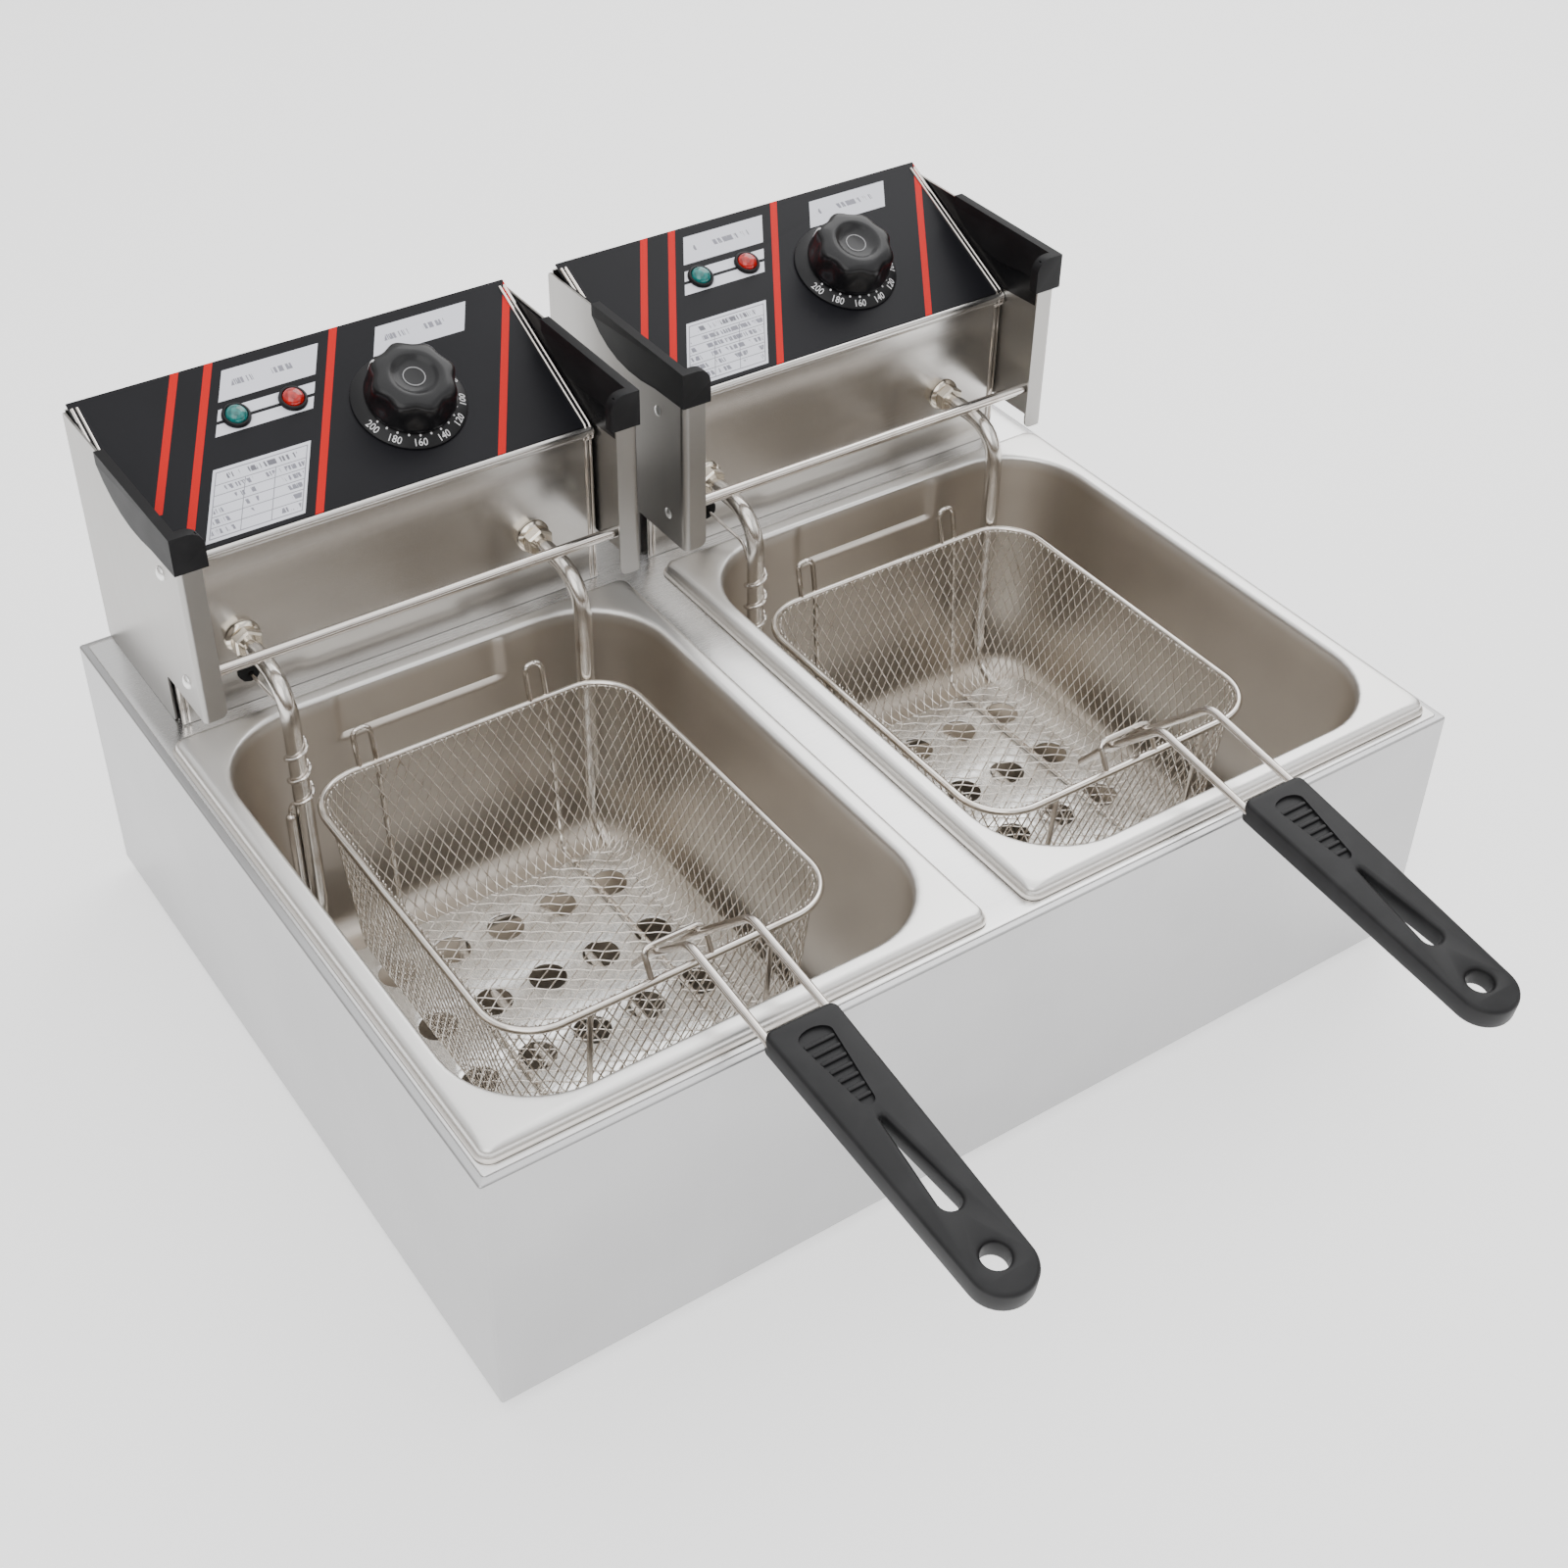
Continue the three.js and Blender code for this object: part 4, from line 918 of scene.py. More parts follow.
@dataclass(frozen=True)
class Pan(Sided):
    """A pressed pan with a wide flat rim and a shallow shelf pressed into its back wall."""

    side: str
    width: float = 265.0
    depth: float = 325.0
    margin: float = 11.0
    corner: float = 48.0
    rim: float = 166.0
    tall: float = 150.0
    taper: float = 9.0
    fillet: float = 14.0
    y: float = 171.5
    shelf: float = 137.0
    shelf_half: float = 50.0
    shelf_top: float = 164.6
    shelf_depth: float = 2.6
    edge: float = 4.4
    skirt: float = 160.15

    rides = "pan"

    @property
    def x(self) -> float:
        """The pan's middle, from the body's middle."""
        return 145.0 * SIDES[self.side]

    def mouth(self, grow: float = 0.0, arc: int = 10, run: int = 1) -> Array:
        """The outline of the opening, made larger by grow all round."""
        w, d = (size - 2 * self.margin + 2 * grow for size in (self.width, self.depth))
        return outline(w, d, self.corner + grow, arc, run, self.x, self.y)

    def _rows(self) -> Array:
        """Rows of points from the middle of the floor up the wall, over the rim and down its skirt.

        The wall's inset falls evenly from the taper at the fillet to nothing under the rim. The
        shelf pushes the back wall outwards where the point is near the middle and above the
        shelf's height, with rounded shoulders.
        """
        low = self.rim - self.tall + 0.9
        turn = quarter(7)
        bend = self.taper + self.fillet * (1 - np.sin(turn))
        levels = [(-i, low + self.fillet * (1 - c)) for i, c in zip(bend, np.cos(turn))]
        heights = np.concatenate([np.linspace(low + 22, 128, 8), np.linspace(132, 162.5, 22)])
        levels += [(-self.taper * (self.rim - z) / self.tall, z) for z in heights]
        levels += [(3.0 * (1 - math.cos(a)) - 0.2, self.rim - 3 + 3 * math.sin(a)) for a in turn]
        edge = self.edge
        flat = self.margin - edge
        levels += [(5.0, self.rim), (flat, self.rim)]
        levels += [(flat + edge * math.sin(a), self.rim - edge + edge * math.cos(a)) for a in turn]
        lip = ((0.0, 1.2), (0.2, 0.5), (0.9, 0.06), (1.5, 0.0))
        levels += [(self.margin + out, self.skirt + up) for out, up in lip]
        mouth = self.mouth(run=60)
        outer = outline(self.width, self.depth, 6.0, 10, 60, self.x, self.y)
        rows = []
        for grow, z in levels:
            share = ease((grow - 1.0) / (self.margin - 2.0))
            loop = inset(mouth, -grow) * (1 - share) + inset(outer, self.margin - grow) * share
            rows.append(level(loop, z))
        rows = np.stack(rows)
        x, y, z = rows[..., 0] - self.x, rows[..., 1], rows[..., 2]
        back = y > self.y + self.depth / 2 - self.margin - 12
        sideways = ease((self.shelf_half - np.abs(x)) / 5)
        near = sideways * ease((z - self.shelf) / 2.4) * ease((self.shelf_top - z) / 2.5)
        rows[..., 1] += np.where(back, near * self.shelf_depth, 0.0)
        return rows

    def build(self) -> None:
        """Makes the pan."""
        rows = self._rows()
        skin = Skin().grid(rows, loop=True, flip=True)
        skin.faces.append(list(range(rows.shape[1])))
        self._piece(skin, "pan_shell", PAN_STEEL, "pan_steel", "tank", wall=0.9, recalc=False)


# ---------------------------------------------------------------- heads


@dataclass(frozen=True)
class Head(Sided):
    """A lift-off heating head: folded case, sloped panel, side plates, lamps, dial and knob."""

    side: str
    width: float = 248.0
    front: float = 349.0
    back: float = 444.0
    cheek_front: float = 306.0
    cheek_top: float = 296.0
    wing: float = 189.0
    foot_front: float = 354.0
    deck: float = 159.3
    panel_front: tuple[float, float] = (348.0, 257.0)
    panel_back: tuple[float, float] = (440.0, 301.5)
    knob_at: tuple[float, float] = (38.0, 46.0)
    leg: float = 83.8
    nut_z: float = 200.0

    rides = "head"

    @property
    def x(self) -> float:
        """The head's middle, from the body's middle."""
        return -143.0 if self.side == "left" else 135.0

    @property
    def slope(self) -> float:
        """The panel's angle above level, in radians."""
        rise = self.panel_back[1] - self.panel_front[1]
        return math.atan2(rise, self.panel_back[0] - self.panel_front[0])

    def panel(self, at: Sequence[float] = (0.0, 0.0)) -> Space:
        """A place on the panel: x across, y up the slope, height out of it."""
        y = self.panel_front[0] + math.cos(self.slope) * at[1]
        z = self.panel_front[1] + math.sin(self.slope) * at[1]
        return Space.tilted(self.x + at[0], y, z, self.slope)

    def front_plate(self) -> None:
        """The brushed front plate, whose top edge rolls forward under the panel."""
        turn = np.radians(np.linspace(252, 62, 14))
        roll = [(348.9 + 3.1 * math.cos(a), 253.5 + 3.1 * math.sin(a)) for a in turn]
        line = np.array([(self.front, self.deck), (self.front, 249.6), *roll])
        half = self.width / 2 - 1.6
        rows = np.stack([np.column_stack([np.full(len(line), self.x + h), line]) for h in (-half, half)])
        skin = Skin().grid(rows, flip=True)
        self._piece(skin, "front_plate", FRONT_STEEL, "brushed", "head_front", wall=1.1, recalc=False)

    def cheek(self, hand: str) -> None:
        """A side plate bent inwards at the front into a narrow flange with round ends.

        A narrow flat strip on each side of the bend keeps the two wide faces evenly lit.
        """
        sign = SIDES[hand]
        outer, r, strip = self.x + sign * self.width / 2, 2.4, 0.4
        start, top, low = self.cheek_front + r, self.cheek_top, self.wing
        edge = [
            (start + strip, top), (self.back, top), (self.back, self.deck), (self.foot_front, self.deck),
            (self.foot_front, low), (start + strip, low),
        ]
        flat = bent([(0.0, y, z) for y, z in edge], 3.0, 5, 1e4)
        plate = flat + [outer, 0.0, 0.0]
        turn = quarter(7)
        arc = np.column_stack([outer - sign * r * (1 - np.cos(turn)), start - r * np.sin(turn)])
        inward = (outer - sign * (r + strip), self.cheek_front)
        arc = np.concatenate([[(outer, start + strip)], arc, [inward]])
        bend = np.stack([level(arc, z) for z in (low, top)])
        tip = outer - sign * 12.0
        fold = [(arc[-1, 0], low), (tip, low), (tip, top), (arc[-1, 0], top)]
        flange = bent([(x, self.cheek_front, z) for x, z in fold], 5.0, 6, 1e4)
        skin = Skin()
        skin.add(plate, [list(range(len(plate)))])
        skin.grid(bend)
        skin.add(flange, [list(range(len(flange)))])
        self._piece(skin, f"cheek_{hand}_plate", SHADED_CHEEK_STEEL, "steel", f"cheek_{hand}", wall=1.2)
        self._soften(f"grip_{hand}", BLACK_PLASTIC, "black_plastic", 0.8)

    def liners(self) -> None:
        """Thin black sheets inside the cheeks, above the panel: a painted reflection of the black panel in
        the cheeks' inner faces.
        """
        edge = np.array([(309.0, 261.0), (349.2, 258.4), (426.5, 295.4), (309.0, 295.4)])
        skin = Skin()
        for sign in SIDES.values():
            sides = sorted(self.x + sign * (self.width / 2 - t) for t in (1.43, 1.22))
            skin.prism(edge, *sides)
        self._piece(skin, "cheek_reflection_sheets", PANEL_REFLECTION_BLACK, "black_plastic")

    def rivets(self) -> None:
        """Domed rivet heads on both cheeks."""
        dome = [(0.0, 2.1), (1.6, 1.95), (3.0, 1.35), (3.8, 0.5), (4.0, 0.0), (4.0, -0.6), (0.0, -0.6)]
        skin = Skin()
        for sign in SIDES.values():
            for y, z in ((331.0, 264.0), (322.0, 205.0)):
                origin = np.array([self.x + sign * self.width / 2, y, z])
                skin.turned(dome, origin, sign * RIGHT, 20)
        self._piece(skin, "rivets", RIVET_STEEL, "steel")

    def side_beads(self) -> None:
        """Two bright beads on each side, down the panel's edge and the front plate's end."""
        place = self.panel()
        skin = Skin()
        for sign in SIDES.values():
            for apart in (1.3, 3.9):
                across = sign * (self.width / 2 - 1.6 - apart)
                slope = place.out(np.array([(across, 98.0, 0.1), (across, 1.5, 0.1)]))
                drop = [(self.x + across, y, z) for y, z in ((345.4, 251.5), (348.9, 248.0), (348.9, 160.4))]
                path = bent([*slope, *drop], 1.2, 3, 30.0)
                skin.tubes(path[None], 0.85, 8, RIGHT)
        self._piece(skin, "side_beads", ROD, "bright_wire")

    def rod(self) -> None:
        """The rod that the basket hangs on, with a collar at each cheek."""
        half, y, z = self.width / 2 - 1.5, 311.0, 213.5
        line = np.array([(self.x - half, y, z), (self.x + half, y, z)])
        skin = Skin().tubes(line[None], 3.0, 24, UP)
        for sign in SIDES.values():
            collar = [(3.05, 0.0), (4.6, 0.0), (4.9, 0.4), (4.6, 2.2), (3.05, 2.6)]
            origin = np.array([self.x + sign * half, y, z])
            skin.turned(collar, origin, -sign * RIGHT, 24)
        self._piece(skin, "hanging_rod", ROD, "bright_wire", "hang_rod")

    def nuts(self) -> None:
        """A hexagon nut with a round flange at each end of the element."""
        for hand, sign in SIDES.items():
            origin = np.array([self.x + sign * self.leg, self.front - 0.3, self.nut_z])
            flange = [(3.8, 0.0), (9.3, 0.0), (9.6, 0.5), (9.3, 1.2), (7.6, 2.4), (3.8, 2.4)]
            nut = [(3.8, 2.2), (7.4, 2.2), (8.3, 2.9), (8.3, 8.0), (7.2, 9.0), (3.8, 9.0)]
            forward = np.array([0.0, -1.0, 0.0])
            skin = Skin().turned(flange, origin, forward, 40).turned(nut, origin, forward, 6)
            self._piece(skin, f"nut_{hand}", NUT_METAL, "bright_wire", f"element_nut_{hand}")

    def lamps(self) -> None:
        """Two domed lenses in dark collars."""
        looks = {"green": ((0.002, 0.15, 0.14), (-48.0, 67.5)), "red": ((0.4, 0.006, 0.004), (-17.0, 67.5))}
        collar = Skin()
        for name, (color, at) in looks.items():
            place = self.panel(at)
            origin, axis = np.array(place.origin), np.array(place.z)
            turn = quarter(9)
            top = zip(5.6 * np.cos(turn[1:]), 1.4 + 3.6 * np.sin(turn[1:]))
            dome = [(4.4, -18.0), (4.4, 0.8), (5.6, 1.0), *top]
            middle = tuple((origin + [0.0, FRONT, 0.0]).tolist())
            lens = Lens(f"{self.side}_{name}_lens", color, middle)
            skin = Skin().turned([(0.0, -18.0), *dome], origin, axis, 32)
            self._piece(skin, f"lamp_{name}_lens", lens, f"{name}_lens", f"lamp_{name}")
            ring = [(5.7, 0.1), (5.7, 1.9), (6.1, 2.3), (6.9, 2.1), (7.5, 1.2), (7.6, 0.1)]
            collar.turned([*ring, ring[0]], origin, axis, 40)
        self._piece(collar, "lamp_collars", BEZEL_PLASTIC, "black_plastic")

    def bezel(self) -> None:
        """The fixed scale ring round the knob, with its dots and numbers."""
        place = self.panel(self.knob_at)
        origin, axis = np.array(place.origin), np.array(place.z)
        (low, wide), (high, narrow) = (1.7, 29.9), (4.8, 22.6)
        ring = [
            (4.1, 0.3), (30.2, 0.3), (30.5, 0.7), (30.4, 1.3), (wide, low), (narrow, high), (21.8, 5.0),
            (4.1, 5.0),
        ]
        skin = Skin().turned([*ring, ring[0]], origin, axis, 96)
        self._piece(skin, "scale_ring", BEZEL_PLASTIC, "black_plastic", "dial_bezel")

        def height(radius: Array) -> Array:
            """The ring's surface at a radius, just clear of it: the ring falls evenly outwards."""
            return low + (wide - radius) * (high - low) / (wide - narrow) + 0.06

        marks = Skin()
        for number in range(60, 201, 20):
            turn = math.radians(200.0 + (200 - number) * 1.4)
            out = np.array([math.cos(turn), math.sin(turn)])
            along = np.array([-out[1], out[0]])
            points, faces = lettering(str(number), 4.0)
            radius = 27.4 - points[:, 1]
            flat = radius[:, None] * out + points[:, :1] * along
            far = np.linalg.norm(flat, axis=1)
            marks.add(place.out(np.column_stack([flat, height(far)])), faces)
        for step in range(15):
            turn = math.radians(200.0 + step * 14.0)
            spot = circle(0.6, 24.2 * math.cos(turn), 24.2 * math.sin(turn), 10)[::-1]
            far = np.linalg.norm(spot, axis=1)
            marks.add(place.out(np.column_stack([spot, height(far)])), [list(range(10))])
        self._piece(marks, "scale_marks", WHITE_INK, "black_plastic", wall=0.05, recalc=False)

    def knob(self) -> None:
        """An eight-lobed domed knob on a round foot, with a dimple on top and a white tick down its side.

        The radius is the profile's own, less a scallop between lobes: depth times
        (1 - cosine of eight turns) / 2.
        """
        place = self.panel(self.knob_at)
        sides = 128
        turn = around(sides)
        valley = (1 - np.cos(8 * turn)) / 2
        profile = np.array([
            (23.0, 5.7, 0.0), (24.1, 6.1, 0.0), (24.4, 7.2, 0.02), (24.2, 8.6, 0.1), (23.9, 11.0, 0.5),
            (23.7, 14.0, 0.85), (23.5, 17.0, 1.0), (23.2, 19.6, 1.0), (22.6, 21.2, 0.9), (21.5, 22.3, 0.7),
            (19.8, 23.1, 0.4), (17.5, 23.7, 0.15), (15.0, 24.1, 0.03), (13.2, 24.1, 0.0), (12.2, 23.7, 0.0),
            (11.0, 22.8, 0.0), (9.0, 21.9, 0.0), (6.6, 21.5, 0.0), (0.4, 21.4, 0.0),
        ])
        radius = profile[:, :1] - 2.3 * profile[:, 2:] * valley
        height = np.repeat(profile[:, 1:2], sides, 1)
        rows = np.stack([radius * np.cos(turn), radius * np.sin(turn), height], -1)
        skin = Skin().grid(place.out(rows), loop=True)
        skin.faces.append(list(range(sides))[::-1])
        skin.faces.append(list(range(skin.count - sides, skin.count)))
        self._piece(skin, "knob_cap", KNOB_PLASTIC, "gloss_black", "knob", body="knob_body", sharp=50)
        ring = [(5.3, 21.4), (5.4, 21.8), (5.9, 21.8), (6.0, 21.4)]
        disc = Skin().turned([*ring, ring[0]], np.array(place.origin), np.array(place.z), 64)
        self._piece(disc, "knob_ring", PALE_INK, "gloss_black", body="knob_body")
        # A short white strip down the knob's side, at 135 degrees round it.
        aim = math.radians(135)
        out = np.array([math.cos(aim), math.sin(aim)])
        along = np.array([-out[1], out[0]])
        rows = []
        for r, h in ((23.75, 14.0), (23.55, 17.0), (23.25, 19.6), (22.65, 21.2), (21.55, 22.3)):
            rows.append([(*(out * (r + 0.12) + along * w), h + 0.12) for w in (-0.7, 0.7)])
        tick = Skin().grid(place.out(np.array(rows)))
        self._piece(tick, "knob_white_tick", WHITE_INK, "gloss_black", body="knob_body", wall=0.5, recalc=False)

    def build(self) -> None:
        """Makes the whole head."""
        self.front_plate()
        for hand in SIDES:
            self.cheek(hand)
        self.liners()
        self.rivets()
        self.side_beads()
        self.rod()
        self.nuts()
        self.lamps()
        self.bezel()
        self.knob()
        print_ = PanelPrint(f"{self.side}_print", self.x, self.panel_front, self.slope)
        for node, finish, slot, bevel in (
            ("control_panel", print_, "panel_black", 0.3), ("head_case", SHADED_CHEEK_STEEL, "steel", 0.4),
            ("thermostat", ROD, "steel", 0.6), ("cut_out", BLACK_PLASTIC, "black_plastic", 0.6),
            ("cord_gland", RUBBER, "rubber", 0.5), ("capillary_grommet", RUBBER, "rubber", 0.3),
        ):
            self._soften(node, finish, slot, bevel)
        self._soften("reset_button", RESET_RED, "red_lens", 0.3, "button")


@lru_cache(maxsize=None)
def lettering(text: str, size: float) -> tuple[Array, list[list[int]]]:
    """Flat letters centred on 0, 0.

    Args:
        text: What they say.
        size: The letters' height in millimetres.

    Returns:
        Points (n, 2) and faces.
    """
    curve = bpy.data.curves.new("lettering", "FONT")
    curve.body, curve.size, curve.resolution_u = text, 1.0, 3
    curve.align_x, curve.align_y = "CENTER", "CENTER"
    obj = bpy.data.objects.new("lettering", curve)
    mesh = bpy.data.meshes.new_from_object(obj)
    points = np.zeros(len(mesh.vertices) * 3)
    mesh.vertices.foreach_get("co", points)
    faces = [list(polygon.vertices) for polygon in mesh.polygons]
    bpy.data.objects.remove(obj)
    points = points.reshape(-1, 3)[:, :2]
    points = points - (points.min(0) + points.max(0)) / 2
    return points * size / max(np.ptp(points[:, 1]), 1e-6) * 0.9, faces


# ---------------------------------------------------------------- heater


@dataclass(frozen=True)
class Heater(Sided):
    """The looped heating tube, its thermostat's sensor and the perforated guard above it."""

    head: Head
    run: float = 29.0
    leg_y: float = 298.0
    tube: float = 7.0
    leg_tube: float = 9.6
    leg_foot: float = 48.0
    nut_depth: float = 9.5

    rides = "head"

    @property
    def side(self) -> str:
        """The head's side."""
        return self.head.side

    def element(self) -> None:
        """One tube: in at the left, down, four runs across the floor, up and out at the right.

        Its two unheated legs are thicker. The width grows evenly, over 12 mm above the leg's foot
        and over 4 mm in front of the nut, from the heated tube's to the leg's.
        """
        a, x, z, low, y = self.head.leg, self.head.x, self.head.nut_z, self.run, self.leg_y
        inner, back = a / 3, self.head.front + 22
        path = [
            (-a, back, z), (-a, y, z), (-a, y, low), (-a, 62, low), (-inner, 62, low), (-inner, 262, low),
            (inner, 262, low), (inner, 62, low), (a, 62, low), (a, y, low), (a, y, z), (a, back, z),
        ]
        line = bent(np.array(path) + [x, 0.0, 0.0], 25.0, 10, 4.0)
        above = np.clip((line[:, 2] - self.leg_foot) / 12.0, 0, 1)
        ahead = np.clip((self.head.front - self.nut_depth - line[:, 1]) / 4.0, 0, 1)
        width = self.tube + (self.leg_tube - self.tube) * above * ahead
        skin = Skin().tubes(line[None], width[:, None, None] / 2, 18, np.array([1.0, 1.0, 1.0]))
        self._piece(skin, "element_tube", ELEMENT, "bright_wire", "element")

    def sensor(self) -> None:
        """A capillary out of its grommet, wound down the left leg to a bulb.

        The winding is a helix: the leg's middle plus the reach times (cosine, sine) of an angle
        that falls evenly with height.
        """
        leg, y, grommet = self.head.x - self.head.leg, self.leg_y, 178.5
        reach = self.leg_tube / 2 + 1.1
        t = np.linspace(0, 1, 90)
        angle = math.pi / 2 - t * 2.75 * TAU
        coil = np.column_stack([leg + reach * np.cos(angle), y + reach * np.sin(angle), 168 - 40 * t])
        thick = 2.8
        bulb_x = leg - thick - self.leg_tube / 2 - 0.3
        lead = [
            (self.head.x - 40, 392, grommet + 14), (self.head.x - 55, 386, grommet + 4), (leg, 372, grommet),
            (leg, 357, grommet), (leg, 343, grommet), (leg + 2, 331, grommet - 3), (leg + 4, 318, 172),
        ]
        tail = [(bulb_x, y, 124.0), (bulb_x, y, 119.0)]
        line = flowing(np.concatenate([lead, coil[::6], coil[-1:], tail]), 7)
        skin = Skin().tubes(line[None], 1.0, 8, np.array([0.31, 0.42, 0.93]))
        turn = quarter(6)
        cap = [(thick * math.sin(a), 122 - thick + thick * math.cos(a)) for a in turn]
        end = [(thick * math.cos(a), 52 + thick - thick * math.sin(a)) for a in turn]
        skin.turned([*cap, *end], np.array([bulb_x, y, 0.0]), UP, 20)
        self._piece(skin, "sensor_tube", ROD, "bright_wire", "capillary")

    def guard(self) -> None:
        """The perforated plate that lies on the element."""
        x = self.head.x
        plate = outline(204.0, 231.0, 20.0, x=x, y=160.5)
        holes = [circle(10.0, x + 32.5 * i, 157.0 + 46.0 * j, 32) for i in range(-2, 3) for j in range(-2, 3)]
        skin = Skin().plate([plate, *holes], 32.8, 33.8, 0.3, Space())
        self._piece(skin, "guard", LIT_GUARD_STEEL, "steel", "guard_plate")

    def build(self) -> None:
        """Makes the element, the sensor and the guard."""
        self.element()
        self.sensor()
        self.guard()


def flowing(points: Array, steps: int) -> Array:
    """A smooth path through points.

    Between points b and c, with a before and d after, it is half of
    2b + (c-a)t + (2a-5b+4c-d)t^2 + (3b-a-3c+d)t^3.
    """
    p = np.concatenate([2 * points[:1] - points[1:2], points, 2 * points[-1:] - points[-2:-1]])
    a, b, c, d = (p[i : len(p) - 3 + i, None] for i in range(4))
    t = (np.arange(steps) / steps)[None, :, None]
    line = 0.5 * (2 * b + (c - a) * t + (2 * a - 5 * b + 4 * c - d) * t**2 + (3 * b - a - 3 * c + d) * t**3)
    return np.concatenate([line.reshape(-1, 3), points[-1:]])


# ---------------------------------------------------------------- basket and handle


@dataclass(frozen=True)
class Basket(Sided):
    """A woven wire basket on a rim and two long wires, with its clip-on handle."""

    side: str
    width: float = 184.0
    depth: float = 214.0
    corner: float = 28.0
    rim: float = 138.0
    y: float = 186.5
    floor: float = 37.4
    taper: float = 8.0
    fillet: float = 12.0
    inside: float = 2.9
    rim_wire: float = 4.0
    frame_wire: float = 3.0
    net_wire: float = 0.85
    weave: float = 34.0
    pitch: float = 7.2
    cell: tuple[float, float] = (6.6, 13.2)

    rides = "basket"

    @property
    def x(self) -> float:
        """The basket's middle, from the body's middle."""
        return -136.0 if self.side == "left" else 140.0

    def _wall(self, along: Array, down: Array) -> Array:
        """Points on the basket's wall.

        Args:
            along: Distance round the rim, anticlockwise, from the middle of the right side.
            down: Distance down the wall, then round the fillet at its foot.

        Returns:
            Points with one more axis. The wall leans in evenly by the taper, then a quarter
            circle of the fillet's radius carries it to the floor. Its corner is a quarter circle
            whose radius shrinks as it goes down.
        """
        tall = self.rim + 1.0 - self.floor - self.fillet
        slant = math.hypot(tall, self.taper)
        share = np.clip(down / slant, 0, 1)
        bend = np.clip((down - slant) / self.fillet, 0, math.pi / 2)
        lean = self.inside + self.taper * share + self.fillet * (1 - np.cos(bend))
        z = self.rim + 1.0 - tall * share - self.fillet * np.sin(bend)
        run_x, run_y = self.width - 2 * self.corner, self.depth - 2 * self.corner
        arc = self.corner * math.pi / 2
        lengths = np.array([run_y / 2, arc, run_x, arc, run_y, arc, run_x, arc, run_y / 2])
        ends = np.concatenate([[0], np.cumsum(lengths)])
        along = np.mod(along, ends[-1])
        part = np.clip(np.searchsorted(ends, along, side="right") - 1, 0, 8)
        frac = (along - ends[part]) / lengths[part]
        radius = np.maximum(self.corner - lean * 0.75, 6.0)
        half_x, half_y = self.width / 2 - lean - radius, self.depth / 2 - lean - radius
        corners = np.array([0, 0, 1, 1, 2, 2, 3, 3, 4])[part] + np.where(part % 2 == 1, frac, 0.0)
        turn = corners * math.pi / 2
        ends = [(1, 0), (1, 1), (1, 1), (-1, 1), (-1, 1), (-1, -1), (-1, -1), (1, -1), (1, -1), (1, 0)]
        start, stop = np.array(ends[:-1], float), np.array(ends[1:], float)
        where = start[part] + (stop[part] - start[part]) * frac[..., None]
        px = self.x + half_x * where[..., 0] + radius * np.cos(turn)
        py = self.y + half_y * where[..., 1] + radius * np.sin(turn)
        return np.stack([px, py, z + np.zeros_like(px)], -1)

    def walls(self) -> None:
        """The net's walls: crimped wires down the wall, touching their neighbours at each bend.

        A wire's offset from its own line is a quarter of a cell's width times a rounded zigzag:
        the arcsine of 0.96 times a sine. Neighbours are half a wave apart.
        """
        straight = 2 * (self.width + self.depth) - 8 * self.corner
        total = straight + TAU * self.corner
        tall = math.hypot(self.rim + 1 - self.floor - self.fillet, self.taper)
        wires = 2 * round(total / self.cell[0])
        number = np.arange(wires)[:, None]
        down = np.linspace(0, tall + self.fillet * math.pi / 2, 100)[None, :]
        wave = np.arcsin(0.96 * np.sin(down * TAU / self.cell[1])) / math.asin(0.96)
        swing = (self.cell[0] - self.net_wire) / 4 + 0.05
        along = number * total / wires + (1 - 2 * (number % 2)) * swing * wave
        down = down + 0 * along
        lines, normals = self._wall(along, down), self._wall_up(along, down)
        for half, part in (("a", slice(0, wires // 2)), ("b", slice(wires // 2, wires))):
            skin = Skin().tubes(lines[part], self.net_wire / 2, 5, normals[part])
            name = f"net_walls_{half}"
            self._piece(skin, name, WIRE, "bright_wire", "basket_mesh", recalc=False, sharp=180)

    def _wall_up(self, along: Array, down: Array) -> Array:
        """The direction out of the wall: across of its two slopes there."""
        step = 0.2
        side = self._wall(along + step, down) - self._wall(along - step, down)
        fall = self._wall(along, down + step) - self._wall(along, down - step)
        return unit(np.cross(side, fall))

    def net_floor(self) -> None:
        """The net's floor: two families of straight wires, woven over and under.

        A wire's height is the sine of how far it has come between two wires of the other family,
        turned over from one wire to the next.
        """
        rim = self.inside + self.taper + self.fillet - 1.0
        half = np.array([self.width / 2 - rim, self.depth / 2 - rim])
        skin = Skin()
        for family in (1, -1):
            turn = math.radians(self.weave) * family
            along = np.array([math.cos(turn), math.sin(turn)])
            across = np.array([-along[1], along[0]])
            reach = abs(across) @ half
            offset = (np.arange(-40, 41) + 0.5) * self.pitch
            offset = offset[np.abs(offset) < reach - 3.0]
            foot = offset[:, None] * across
            t = np.sort(np.concatenate([(s * half - foot) / along for s in (-1, 1)], axis=1), axis=1)
            start, stop = t[:, 1:2], t[:, 2:3]
            step = start + (stop - start) * np.linspace(0, 1, 90)
            flat = foot[:, None] + step[..., None] * along
            other = np.array([-math.sin(-turn), math.cos(-turn)])
            place = flat @ other / self.pitch - 0.5
            parity = np.round(offset / self.pitch - 0.5)[:, None]
            lift = family * np.cos(math.pi * (place + parity)) * self.net_wire / 2
            z = self.floor + 0.75 + lift
            points = np.concatenate([flat + [self.x, self.y], z[..., None]], axis=-1)
            skin.tubes(points, self.net_wire / 2, 6, UP)
        self._piece(skin, "net_floor", WIRE, "bright_wire", recalc=False, sharp=180)

